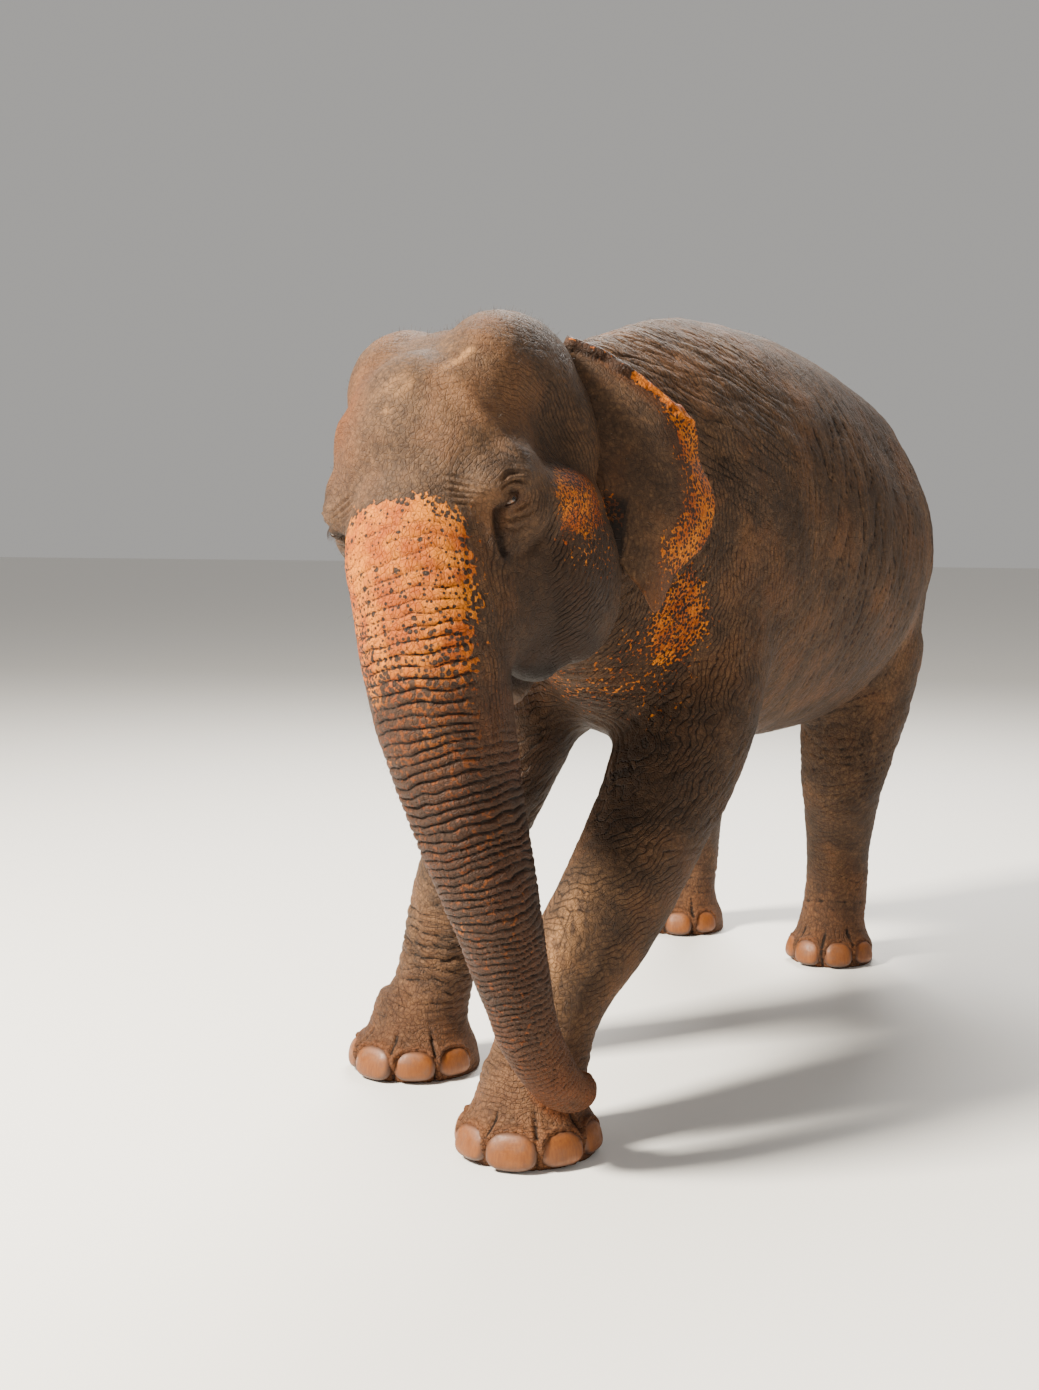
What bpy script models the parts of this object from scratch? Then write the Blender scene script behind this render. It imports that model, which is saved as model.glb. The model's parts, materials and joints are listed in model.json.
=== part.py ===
# Asian elephant, an adult cow at life size, as a still museum model.
# She leans on her left shoulder with her left fore leg reached forward, her head
# tilted to the right and her trunk hanging with its tip at the left fore foot.
# Metres, +Z up. She faces -Y, and her left side is +X. The floor is at z = 0.

import math

import bmesh
import bpy
from mathutils import Euler, Matrix, Vector

# Driving sizes
WITHERS = 2.34           # height at the shoulder
GAP = 0.0004             # slit between neighbouring pieces
BODY_VOXEL = 0.024       # grain of the fused torso, before the fine masses are added
BODY_SOFTENING = 14      # passes of smoothing over it
FINE_VOXEL = 0.014       # grain of the whole fused animal
FINE_SOFTENING = 12
FLESH_SHARE = 0.0088     # share of the fused faces that is kept
HEAD_DETAIL = 0.80       # how strongly the head keeps its faces while the rest is thinned
HEAD_WEIGHT = 0.5        # how readily the head's faces go, beside 1 for the body's

# The head has a frame of its own: X to her left, Y to the back, Z to the crown.
HEAD_CENTRE = Vector((-0.14, -1.25, 1.72))
HEAD_ROLL = math.radians(-9)
HEAD_FRAME = Matrix.Translation(HEAD_CENTRE) @ Matrix.Rotation(HEAD_ROLL, 4, "Y")

EYE_RADIUS = 0.021
EYE_SPOT = Vector((0.260, -0.213, -0.006))   # on the head's left side, in the head's frame
EYE_DEPTH = 0.018                            # from the skin to the eyeball's centre

FORE_FOOT = {"radius": 0.194, "ankle": 0.118, "height": 0.26, "nails": 5, "nail_width": 0.062}
HIND_FOOT = {"radius": 0.165, "ankle": 0.105, "height": 0.24, "nails": 4, "nail_width": 0.050}
NAIL_HEIGHT = 0.047      # half of a nail's height
NAIL_DEPTH = 0.024       # half of its thickness
NAIL_SUNK = 0.016        # how far its middle lies under the skin
NAIL_LEVEL = 0.053       # height of its middle over the floor
NAIL_SPACING = 39        # degrees round the foot from one to the next
NAIL_LEAN = 14           # degrees that its top leans back
NAIL_TAPER = 0.16        # how much smaller the outer ones are

EAR_THICKNESS = 0.020
EAR_CUP = Vector((0.055, -0.030, 0.0))       # how far the middle of the ear bellies out
RIM_ROLL = Vector((0.030, -0.035, 0.0))      # how far the upper rim folds forward
RIM_MIDDLE, RIM_REACH, RIM_DEPTH = 0.30, 0.24, 0.3    # where it folds, as shares of the ear

TRUNK_GATE = -0.40       # where the trunk leaves the head, in the head's frame
HEAD_CUT = -0.90         # cuts across the body, along Y
NECK_CUT = -0.46
CHEST_CUT = 0.30
RUMP_CUT = 1.02
CUT_LEVEL = 1.70         # a height that the slanted one passes through
LEG_TOPS = {"foreleg": 0.93, "hindleg": 0.90}
ANKLES = {"foreleg": 0.36, "hindleg": 0.33}
TAIL_CUT = 1.50

IDENTITY = Matrix.Identity(4)

for old in list(bpy.data.objects):
    bpy.data.objects.remove(old, do_unlink=True)

parts = bpy.data.collections.new("asian_elephant")
guides = bpy.data.collections.new("cutters")
for group in (parts, guides):
    bpy.context.scene.collection.children.link(group)


# Tools

def add_object(name, mesh, group=guides):
    thing = bpy.data.objects.new(name, mesh)
    group.objects.link(thing)
    if group is guides:
        thing.hide_render = True
        thing.display_type = "WIRE"
    return thing


def mesh_from(name, build):
    """A mesh that the function build makes in a bmesh, with its faces turned out."""
    bm = bmesh.new()
    build(bm)
    bmesh.ops.recalc_face_normals(bm, faces=bm.faces)
    mesh = bpy.data.meshes.new(name)
    bm.to_mesh(mesh)
    bm.free()
    return mesh


def settle(thing):
    """Replaces the object's data with what its modifiers make of it."""
    depsgraph = bpy.context.evaluated_depsgraph_get()
    made = bpy.data.meshes.new_from_object(thing.evaluated_get(depsgraph))
    thing.modifiers.clear()
    thing.data = made
    return thing


def ellipsoid(centre, radii, turn=(0, 0, 0), frame=IDENTITY, around=32):
    """A closed egg of flesh: its turn is in degrees about X, Y and Z."""
    spin = Euler([math.radians(angle) for angle in turn]).to_matrix().to_4x4()
    place = frame @ Matrix.Translation(Vector(centre)) @ spin @ Matrix.Diagonal((*radii, 1.0))
    return mesh_from("egg", lambda bm: bmesh.ops.create_uvsphere(
        bm, u_segments=around, v_segments=around * 5 // 8, radius=1.0, matrix=place))


def tube(points, frame=IDENTITY, around=6, steps=6):
    """A closed round limb through (x, y, z, radius) points."""
    curve = bpy.data.curves.new("tube", "CURVE")
    curve.dimensions = "3D"
    curve.bevel_depth = 1.0
    curve.bevel_resolution = around
    curve.resolution_u = steps
    curve.use_fill_caps = True
    spline = curve.splines.new("BEZIER")
    spline.radius_interpolation = "CARDINAL"
    spline.bezier_points.add(len(points) - 1)
    for knot, (x, y, z, radius) in zip(spline.bezier_points, points):
        knot.co = frame @ Vector((x, y, z))
        knot.radius = radius
        knot.handle_left_type = knot.handle_right_type = "AUTO"
    holder = add_object("tube", curve)
    depsgraph = bpy.context.evaluated_depsgraph_get()
    mesh = bpy.data.meshes.new_from_object(holder.evaluated_get(depsgraph))
    bpy.data.objects.remove(holder)

    bm = bmesh.new()
    bm.from_mesh(mesh)
    bmesh.ops.remove_doubles(bm, verts=bm.verts, dist=0.0001)
    bmesh.ops.recalc_face_normals(bm, faces=bm.faces)
    bm.to_mesh(mesh)
    bm.free()
    return mesh


def loft(rings):
    """A closed skin over rings of equally many points."""
    def build(bm):
        loops = [[bm.verts.new(point) for point in ring] for ring in rings]
        for near, far in zip(loops, loops[1:]):
            for i in range(len(near)):
                j = (i + 1) % len(near)
                bm.faces.new((near[i], near[j], far[j], far[i]))
        bm.faces.new(loops[0])
        bm.faces.new(loops[-1])
    return mesh_from("loft", build)


def fuse(name, meshes, voxel, smoothing):
    """One closed body from overlapping masses, with its joins softened."""
    bm = bmesh.new()
    for mesh in meshes:
        bm.from_mesh(mesh)
    joined = bpy.data.meshes.new(name)
    bm.to_mesh(joined)
    bm.free()
    body = add_object(name, joined)
    remesh = body.modifiers.new("fuse", "REMESH")
    remesh.mode = "VOXEL"
    remesh.voxel_size = voxel
    smooth = body.modifiers.new("soften", "SMOOTH")
    smooth.factor = 0.5
    smooth.iterations = smoothing
    return settle(body)


def box(low, high, frame=IDENTITY):
    """A cutter between two corners."""
    low, high = Vector(low), Vector(high)
    place = frame @ Matrix.Translation((low + high) / 2) @ Matrix.Diagonal((*(high - low), 1.0))
    return add_object("box", mesh_from("box", lambda bm: bmesh.ops.create_cube(
        bm, size=1.0, matrix=place)))


def half_space(point, normal):
    """A cutter that fills the side of a plane that its normal points to."""
    normal = Vector(normal).normalized()
    place = Matrix.Translation(Vector(point)) @ normal.to_track_quat("Z", "Y").to_matrix().to_4x4()
    return box((-4, -4, 0), (4, 4, 8), place)


def swollen(thing, by=GAP):
    """A cutter a hair larger than the object."""
    copy = add_object("swollen", thing.data.copy())
    push = copy.modifiers.new("swell", "DISPLACE")
    push.strength = by
    push.mid_level = 0.0
    return settle(copy)


def combine(thing, cutter, operation):
    """The object with the cutter taken out of it, or limited to it."""
    boolean = thing.modifiers.new("combine", "BOOLEAN")
    boolean.operation = operation
    boolean.solver = "EXACT"
    boolean.object = cutter
    return settle(thing)


def without(thing, *cutters):
    for cutter in cutters:
        combine(thing, cutter, "DIFFERENCE")
    return thing


def piece_of(thing, name, *limits):
    """A named copy of the object, limited to all of the cutters."""
    piece = add_object(name, thing.data.copy(), parts)
    for limit in limits:
        combine(piece, limit, "INTERSECT")
    return piece


def split(thing, name, point, normal):
    """Parts a named piece off the object, on the side of the plane that its normal points to."""
    normal = Vector(normal).normalized()
    piece = piece_of(thing, name, half_space(Vector(point) + normal * GAP / 2, normal))
    combine(thing, half_space(Vector(point) - normal * GAP / 2, -normal), "INTERSECT")
    return piece


def shells_of(thing):
    """The object's separate bodies, as lists of vertex numbers, the largest first."""
    mesh = thing.data
    owner = list(range(len(mesh.vertices)))

    def root(i):
        while owner[i] != i:
            owner[i] = owner[owner[i]]
            i = owner[i]
        return i

    for edge in mesh.edges:
        a, b = (root(i) for i in edge.vertices)
        owner[a] = b
    shells = {}
    for i in range(len(owner)):
        shells.setdefault(root(i), []).append(i)
    return sorted(shells.values(), key=len, reverse=True)


def keep_shell(thing, shell):
    """Drops everything but one of the object's bodies."""
    kept = set(shell)
    bm = bmesh.new()
    bm.from_mesh(thing.data)
    bmesh.ops.delete(bm, geom=[vert for vert in bm.verts if vert.index not in kept], context="VERTS")
    bm.to_mesh(thing.data)
    bm.free()
    return thing


def pair_of(thing, left_name, right_name):
    """Names the two largest bodies of the object by the side they stand on, and drops crumbs."""
    made = []
    for shell in shells_of(thing)[:2]:
        middle = sum(thing.data.vertices[i].co.x for i in shell) / len(shell)
        made.append((middle, keep_shell(add_object("leg", thing.data.copy(), parts), shell)))
    made.sort(key=lambda item: item[0])
    made[0][1].name, made[1][1].name = right_name, left_name
    bpy.data.objects.remove(thing)
    return made[1][1], made[0][1]


# Body: neck, chest, barrel and rump as one row of sections

# Where along the body, sideways shift, half width, height of the back and of the belly.
SECTIONS = (
    (-1.08, -0.12, 0.22, 2.04, 1.42),
    (-0.88, -0.09, 0.25, 2.16, 1.32),
    (-0.66, -0.04, 0.28, 2.22, 1.20),
    (-0.44, -0.01, 0.33, 2.27, 1.04),
    (-0.20, 0.01, 0.40, 2.32, 0.98),
    (0.12, 0.02, 0.48, WITHERS, 0.97),
    (0.50, 0.03, 0.56, 2.345, 0.94),
    (0.86, 0.04, 0.585, 2.315, 0.93),
    (1.16, 0.05, 0.55, 2.24, 1.02),
    (1.43, 0.06, 0.46, 2.11, 1.25),
    (1.64, 0.06, 0.31, 1.94, 1.45),
    (1.74, 0.06, 0.14, 1.80, 1.58),
)
SECTION_POINTS = 28
WIDEST_AT = 0.46         # share of the height where a section is widest
BACK_TAPER, BELLY_TAPER = 0.16, 0.05


def body_ring(y, shift, half_width, back, belly):
    """One upright section, a little narrower over the spine than at the flanks."""
    middle = belly + (back - belly) * WIDEST_AT
    ring = []
    for i in range(SECTION_POINTS):
        angle = math.tau * i / SECTION_POINTS
        across, up = math.cos(angle), math.sin(angle)
        reach = back - middle if up > 0 else middle - belly
        narrow = 1 - BACK_TAPER * max(up, 0) ** 2 - BELLY_TAPER * max(-up, 0) ** 2
        ring.append(Vector((shift + half_width * across * narrow, y, middle + reach * up)))
    return ring


def body_masses():
    masses = [loft([body_ring(*section) for section in SECTIONS])]
    # shoulder blades, upper arms and thighs
    masses += [
        ellipsoid((0.24, -0.08, 1.62), (0.15, 0.28, 0.44), (8, 6, 0)),
        ellipsoid((-0.24, -0.08, 1.62), (0.15, 0.28, 0.44), (8, -6, 0)),
        ellipsoid((0.22, -0.22, 1.30), (0.17, 0.25, 0.34), (-18, 4, 0)),
        ellipsoid((-0.27, -0.24, 1.30), (0.17, 0.24, 0.34), (-10, 8, 0)),
        ellipsoid((0.33, 1.24, 1.40), (0.21, 0.36, 0.50), (-8, 5, 0)),
        ellipsoid((-0.25, 1.27, 1.40), (0.21, 0.36, 0.50), (-8, 5, 0)),
    ]
    return masses


# Legs: (x, y, z, radius) from the shoulder or hip to the ankle

LEGS = {
    "foreleg_left": {
        "line": ((0.21, -0.20, 1.34, 0.19), (0.190, -0.37, 1.06, 0.202), (0.160, -0.60, 0.82, 0.178),
                 (0.118, -0.86, 0.58, 0.162), (0.052, -1.06, 0.37, 0.139), (0.030, -1.13, 0.15, 0.138)),
        "foot": (0.026, -1.165), "facing": 12, "build": FORE_FOOT},
    "foreleg_right": {
        "line": ((-0.29, -0.26, 1.34, 0.19), (-0.355, -0.40, 1.05, 0.178), (-0.435, -0.50, 0.78, 0.155),
                 (-0.505, -0.56, 0.54, 0.139), (-0.550, -0.595, 0.32, 0.124), (-0.580, -0.62, 0.15, 0.132)),
        "foot": (-0.593, -0.64), "facing": -15, "build": FORE_FOOT},
    "hindleg_left": {
        "line": ((0.33, 1.24, 1.28, 0.23), (0.31, 1.16, 1.00, 0.205), (0.28, 1.13, 0.76, 0.165),
                 (0.24, 1.23, 0.50, 0.131), (0.22, 1.28, 0.28, 0.122), (0.21, 1.28, 0.14, 0.127)),
        "foot": (0.21, 1.26), "facing": 4, "build": HIND_FOOT},
    "hindleg_right": {
        "line": ((-0.27, 1.27, 1.28, 0.23), (-0.32, 1.24, 1.00, 0.205), (-0.39, 1.31, 0.76, 0.165),
                 (-0.44, 1.46, 0.50, 0.131), (-0.475, 1.53, 0.28, 0.122), (-0.49, 1.54, 0.14, 0.127)),
        "foot": (-0.49, 1.525), "facing": -8, "build": HIND_FOOT},
}


def foot_frame(leg):
    """A frame at the middle of the sole, with -Y to the toes."""
    x, y = leg["foot"]
    return Matrix.Translation((x, y, 0)) @ Matrix.Rotation(math.radians(leg["facing"]), 4, "Z")


SOLE_SUNK = 0.012        # the foot starts this far under the floor, where the sole is cut flat
FOOT_LENGTH = 1.05       # its length for its width
PAD_HEIGHT = 0.085


def foot_masses(leg):
    """A column that swells over the sole, and the toes' pad in front."""
    size = leg["build"]
    frame = foot_frame(leg)
    middle = Matrix.Translation((0, 0, size["height"] / 2 - SOLE_SUNK))
    place = frame @ middle @ Matrix.Diagonal((1, FOOT_LENGTH, 1, 1))
    column = mesh_from("column", lambda bm: bmesh.ops.create_cone(
        bm, cap_ends=True, segments=40, radius1=size["radius"], radius2=size["ankle"],
        depth=size["height"], matrix=place))
    pad = ellipsoid((0, -0.02, 0.06), (size["radius"], size["radius"] * FOOT_LENGTH, PAD_HEIGHT), frame=frame)
    return [column, pad]


# Head

def head_egg(centre, radii, turn=(0, 0, 0)):
    return ellipsoid(centre, radii, turn, HEAD_FRAME)


JAW_LINE = ((0, 0.14, -0.30, 0.16), (0, 0.10, -0.41, 0.125), (0, 0.055, -0.50, 0.080))


def head_masses():
    """The skull's forms and the flesh over them, on both sides of the midline."""
    masses = [
        head_egg((0, 0.12, 0.13), (0.255, 0.34, 0.36)),                # skull
        head_egg((0, -0.13, 0.13), (0.150, 0.185, 0.27)),              # middle of the forehead
        head_egg((0, -0.17, -0.08), (0.235, 0.160, 0.21)),             # root of the trunk
        head_egg((0, 0.13, -0.24), (0.19, 0.22, 0.22)),                # throat
        tube(JAW_LINE, HEAD_FRAME),
    ]
    for side in (1, -1):
        masses += [
            head_egg((side * 0.135, 0.14, 0.295), (0.155, 0.31, 0.225)),                         # dome
            head_egg((side * 0.095, -0.10, 0.07), (0.155, 0.20, 0.31)),                          # forehead
            head_egg((side * 0.219, -0.158, 0.065), (0.087, 0.140, 0.075), (24, side * 24, 0)),  # brow
            head_egg((side * 0.195, 0.03, 0.13), (0.085, 0.20, 0.15)),                           # temple
            head_egg((side * 0.165, -0.02, -0.19), (0.105, 0.17, 0.21)),                         # face
            head_egg((side * 0.200, 0.26, 0.16), (0.105, 0.17, 0.24)),                           # by the ear
            head_egg((side * 0.245, 0.08, -0.02), (0.088, 0.27, 0.12), (-6, 0, 0)),              # cheekbone
            head_egg((side * 0.205, 0.14, -0.18), (0.145, 0.24, 0.26)),                          # cheek
            head_egg((side * 0.150, 0.02, -0.36), (0.080, 0.16, 0.11)),                          # mouth
            head_egg((side * 0.150, -0.15, -0.22), (0.085, 0.12, 0.20), (-8, side * -4, 0)),     # tusk sheath
        ]
    return masses


# Trunk: (x, y, z, radius) from inside the forehead to the tip

TRUNK_LINE = (
    (-0.160, -1.370, 1.84, 0.150), (-0.140, -1.450, 1.66, 0.192), (-0.101, -1.490, 1.50, 0.194),
    (-0.054, -1.510, 1.252, 0.180), (0.000, -1.500, 1.004, 0.152), (0.065, -1.475, 0.757, 0.122),
    (0.112, -1.424, 0.501, 0.092), (0.134, -1.387, 0.370, 0.079), (0.170, -1.324, 0.255, 0.069),
    (0.195, -1.262, 0.202, 0.057), (0.213, -1.203, 0.199, 0.046),
)
TRUNK_CUTS = (("trunk_middle", 0.98), ("trunk_lower", 0.60), ("trunk_tip", 0.33))


# Ears

def curve_through(points, share):
    """A point on a smooth curve through the points, at a share of its length from 0 to 1."""
    place = share * (len(points) - 1)
    i = min(int(place), len(points) - 2)
    t = place - i
    a, b, c, d = (Vector(points[min(max(k, 0), len(points) - 1)]) for k in range(i - 1, i + 3))
    return 0.5 * (2 * b + (c - a) * t + (2 * a - 5 * b + 4 * c - d) * t * t
                  + (3 * b - a - 3 * c + d) * t ** 3)


EAR_ROOT = ((0.185, 0.34, 0.39), (0.265, 0.34, 0.22), (0.310, 0.28, 0.02), (0.325, 0.24, -0.17))
EAR_EDGE = ((0.225, 0.37, 0.460), (0.300, 0.43, 0.402), (0.365, 0.485, 0.325), (0.425, 0.55, 0.245),
            (0.462, 0.605, 0.185), (0.472, 0.625, 0.10), (0.487, 0.64, -0.03), (0.470, 0.59, -0.135),
            (0.433, 0.47, -0.215), (0.403, 0.37, -0.305), (0.388, 0.31, -0.335), (0.370, 0.262, -0.27))
EAR_ROWS, EAR_COLUMNS = 12, 6


def ear_mesh(side):
    """An open sheet from the root to the edge, cupped, with a rolled upper rim."""
    def build(bm):
        rows = []
        for i in range(EAR_ROWS + 1):
            along = i / EAR_ROWS
            root, edge = curve_through(EAR_ROOT, along), curve_through(EAR_EDGE, along)
            row = []
            for j in range(EAR_COLUMNS + 1):
                out = j / EAR_COLUMNS
                point = root.lerp(edge, out)
                point += EAR_CUP * math.sin(math.pi * out) * math.sin(math.pi * along)
                near_rim = max(0, out - 1 + RIM_DEPTH) / RIM_DEPTH
                roll = max(0, 1 - abs(along - RIM_MIDDLE) / RIM_REACH) * near_rim
                point += RIM_ROLL * roll * roll
                row.append(bm.verts.new(HEAD_FRAME @ Vector((side * point.x, point.y, point.z))))
            rows.append(row)
        for upper, lower in zip(rows, rows[1:]):
            for j in range(EAR_COLUMNS):
                bm.faces.new((upper[j], upper[j + 1], lower[j + 1], lower[j]))
    return mesh_from("ear", build)


def ear(name, side):
    flap = add_object(name, ear_mesh(side), parts)
    thick = flap.modifiers.new("thick", "SOLIDIFY")
    thick.thickness = EAR_THICKNESS
    thick.offset = 0.0
    return settle(flap)


# Tail: (x, y, z, radius)

TAIL_LINE = ((0.060, 1.62, 1.88, 0.085), (0.062, 1.77, 1.81, 0.062), (0.066, 1.835, 1.64, 0.046),
             (0.070, 1.855, 1.42, 0.035), (0.072, 1.855, 1.18, 0.028), (0.072, 1.845, 0.96, 0.022))
TUFT_LINE = ((0.072, 1.846, 1.04, 0.033), (0.072, 1.842, 0.92, 0.046), (0.072, 1.838, 0.78, 0.042),
             (0.072, 1.834, 0.64, 0.014))


# Materials: base colour, roughness

FINISHES = {
    "skin": ((0.245, 0.185, 0.145), 0.78),
    "ear_skin": ((0.330, 0.190, 0.125), 0.76),
    "trunk_skin": ((0.360, 0.225, 0.150), 0.76),
    "nail": ((0.430, 0.260, 0.150), 0.55),
    "eye": ((0.030, 0.018, 0.012), 0.12),
    "hair": ((0.030, 0.024, 0.020), 0.60),
}


def finish_for(name):
    for word, finish in (("toenail", "nail"), ("eye", "eye"), ("tuft", "hair"), ("ear", "ear_skin"),
                         ("trunk", "trunk_skin")):
        if name.startswith(word) or name.endswith(word):
            return finish
    return "skin"


def paint(thing):
    colour, roughness = FINISHES[finish_for(thing.name)]
    material = bpy.data.materials.new(thing.name)
    material.use_nodes = True
    shader = material.node_tree.nodes["Principled BSDF"]
    shader.inputs["Base Color"].default_value = (*colour, 1.0)
    shader.inputs["Roughness"].default_value = roughness
    thing.data.materials.clear()
    thing.data.materials.append(material)
    thing.data.shade_smooth()
    thing.data.set_sharp_from_angle(angle=math.radians(40))


# The fused animal

limbs = [tube(leg["line"]) for leg in LEGS.values()]
torso = fuse("torso", body_masses() + limbs, BODY_VOXEL, BODY_SOFTENING)
masses = [torso.data, tube(TRUNK_LINE[:5])] + head_masses()
for leg in LEGS.values():
    masses += foot_masses(leg)
flesh = fuse("flesh", masses, FINE_VOXEL, FINE_SOFTENING)

# the head keeps more of its faces than the body does
weights = flesh.vertex_groups.new(name="thin_out")
for vertex in flesh.data.vertices:
    in_head = vertex.co.y < -0.85 and vertex.co.z > 1.0
    weights.add([vertex.index], HEAD_WEIGHT if in_head else 1.0, "REPLACE")
thinning = flesh.modifiers.new("thin", "DECIMATE")
thinning.ratio = FLESH_SHARE
thinning.vertex_group = "thin_out"
thinning.vertex_group_factor = HEAD_DETAIL
settle(flesh)

# flat soles on the floor
without(flesh, half_space((0, 0, 0), (0, 0, -1)))

# legs, cut level under the body and again over the feet
FEET = {"foreleg": "forefoot", "hindleg": "hindfoot"}
REACH = 4.0
for kind, near, far in (("foreleg", -REACH, 0.30), ("hindleg", 0.80, REACH)):
    top = LEG_TOPS[kind]
    low = piece_of(flesh, "low", box((-REACH, near, -1), (REACH, far, top - GAP)))
    for leg in pair_of(low, f"{kind}_left", f"{kind}_right"):
        foot_name = leg.name.replace(kind, FEET[kind])
        split(leg, foot_name, (0, 0, ANKLES[kind]), (0, 0, -1))
    without(flesh, box((-REACH, near - GAP, -1), (REACH, far + GAP, top)))

# head, neck and the lengths of the body
head = split(flesh, "head", (0, HEAD_CUT, CUT_LEVEL), (0, -1, -0.20))
without(head, box((-0.4, -0.7, -0.9), (0.4, -0.065, TRUNK_GATE), HEAD_FRAME))
chin_slice = HEAD_FRAME @ Vector((0, 0, TRUNK_GATE)), HEAD_FRAME.to_3x3() @ Vector((0, 0, -1))
jaw = split(head, "lower_jaw", *chin_slice)
split(flesh, "neck", (0, NECK_CUT, 0), (0, -1, 0))
split(flesh, "chest", (0, CHEST_CUT, 0), (0, -1, 0))
rump = split(flesh, "rump", (0, RUMP_CUT, 0), (0, 1, 0))
piece_of(flesh, "barrel")

# trunk, in lengths below the head
trunk = add_object("trunk_upper", tube(TRUNK_LINE, around=5, steps=3), parts)
gate = HEAD_FRAME @ Vector((0, 0, TRUNK_GATE - GAP))
combine(trunk, half_space(gate, HEAD_FRAME.to_3x3() @ Vector((0, 0, -1))), "INTERSECT")
without(trunk, swollen(head), swollen(jaw))
for name, level in TRUNK_CUTS:
    lower = split(trunk, name, (0, 0, level), (0, 0, -1))
    trunk = lower

# ears, laid on the head and the neck
for name, side in (("ear_left", 1), ("ear_right", -1)):
    flap = ear(name, side)
    for cutter in ("head", "neck", "lower_jaw"):
        without(flap, swollen(bpy.data.objects[cutter]))

# eyes, sunk under the brow
for name, side in (("eye_left", 1), ("eye_right", -1)):
    outside = HEAD_FRAME @ Vector((side * 0.6, EYE_SPOT.y - 0.25, EYE_SPOT.z))
    aim = HEAD_FRAME @ Vector((side * EYE_SPOT.x, EYE_SPOT.y, EYE_SPOT.z))
    line = (aim - outside).normalized()
    found, spot, _, _ = head.ray_cast(outside, line)
    centre = (spot if found else aim) + line * EYE_DEPTH
    add_object(name, ellipsoid(centre, [EYE_RADIUS] * 3, around=12), parts)
    without(head, add_object("socket", ellipsoid(centre, [EYE_RADIUS + GAP] * 3, around=12)))

# toenails, set round the front of each foot
for leg_name, leg in LEGS.items():
    size = leg["build"]
    kind, side = leg_name.split("_")
    foot = bpy.data.objects[f"{FEET[kind]}_{side}"]
    for i in range(size["nails"]):
        angle = math.radians((i - (size["nails"] - 1) / 2) * NAIL_SPACING)
        outer = 1 - NAIL_TAPER * abs(math.sin(angle))
        reach = Vector((math.sin(angle), -math.cos(angle), 0))
        frame = foot_frame(leg)
        heading = frame.to_3x3() @ reach
        start = frame @ Vector((0, 0, NAIL_LEVEL)) + heading * 0.5
        found, spot, _, _ = foot.ray_cast(start, -heading)
        turn = (NAIL_LEAN, 0, math.degrees(math.atan2(heading.x, -heading.y)))
        radii = (size["nail_width"] * outer, NAIL_DEPTH, NAIL_HEIGHT * outer)
        centre = spot - heading * NAIL_SUNK
        add_object(f"toenail_{FEET[kind]}_{side}_{i + 1}", ellipsoid(centre, radii, turn, around=8), parts)
        pocket = [radius + GAP for radius in radii]
        without(foot, add_object("pocket", ellipsoid(centre, pocket, turn, around=8)))

# tail, hanging clear behind the thighs
tail = add_object("tail_upper", tube(TAIL_LINE, around=2, steps=4), parts)
without(tail, swollen(rump))
keep_shell(tail, shells_of(tail)[0])
tail_lower = split(tail, "tail_lower", (0, 0, TAIL_CUT), (0, 0, -1))
tuft = add_object("tail_tuft", tube(TUFT_LINE, around=2, steps=4), parts)
without(tail_lower, swollen(tuft))

for thing in list(parts.objects):
    keep_shell(thing, shells_of(thing)[0])
    paint(thing)

# the frame's origin is the middle of the footprint of the whole animal, on the floor
corners = [vertex.co for thing in parts.objects for vertex in thing.data.vertices]
shift = Vector([-(min(c[i] for c in corners) + max(c[i] for c in corners)) / 2 for i in (0, 1)] + [0])
for thing in parts.objects:
    thing.data.transform(Matrix.Translation(shift))
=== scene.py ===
import json
import math
import time

import bmesh
import bpy
import numpy as np
from mathutils import Euler, Matrix, Vector
from mathutils.bvhtree import BVHTree
from mathutils.kdtree import KDTree


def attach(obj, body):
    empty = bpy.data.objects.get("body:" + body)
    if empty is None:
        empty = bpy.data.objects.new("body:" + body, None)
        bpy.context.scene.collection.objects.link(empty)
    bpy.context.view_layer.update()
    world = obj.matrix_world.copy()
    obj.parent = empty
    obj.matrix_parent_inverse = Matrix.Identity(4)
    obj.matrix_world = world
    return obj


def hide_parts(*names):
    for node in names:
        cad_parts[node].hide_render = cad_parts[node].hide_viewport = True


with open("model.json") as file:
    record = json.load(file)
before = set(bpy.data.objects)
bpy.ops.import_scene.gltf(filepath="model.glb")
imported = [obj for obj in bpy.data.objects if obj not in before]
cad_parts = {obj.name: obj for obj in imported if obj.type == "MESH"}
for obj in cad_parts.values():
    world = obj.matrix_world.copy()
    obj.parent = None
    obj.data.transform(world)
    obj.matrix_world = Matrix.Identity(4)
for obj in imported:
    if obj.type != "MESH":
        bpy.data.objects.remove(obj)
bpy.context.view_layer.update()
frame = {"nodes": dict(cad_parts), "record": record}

started = time.time()


def report(stage):
    print(f"{time.time() - started:6.1f} s  {stage}")


# An adult Asian elephant cow, life size. She faces -Y and her left side is +X.
# Shapes are measured from a point between her feet; bodyShift takes them to the frame.
leftForeSole = next(m for m in frame["record"]["mounts"] if m["name"] == "sole_fore_left")
bodyShift = Vector(leftForeSole["pos_m"]) - Vector((0.026, -1.165, 0))

# The head has a frame of its own: X to her left, Y to the back, Z to the crown.
headFrame = Matrix.Translation((-0.14, -1.25, 1.72)) @ Matrix.Rotation(math.radians(-9), 4, "Y")

skinSettings = {
    "torsoGrain": 0.024,                         # voxels of the first, coarse fusing
    "torsoSmoothing": 14,
    "grain": 0.0095,    # voxels of the skin
    "spread": 0.021,                             # how far the joins of the masses are softened
    "seamPasses": 6,        # smoothing where the trunk and tail join on
    "lift": 0.002,                               # what the softening takes off, put back
}


# Mesh tools

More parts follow.
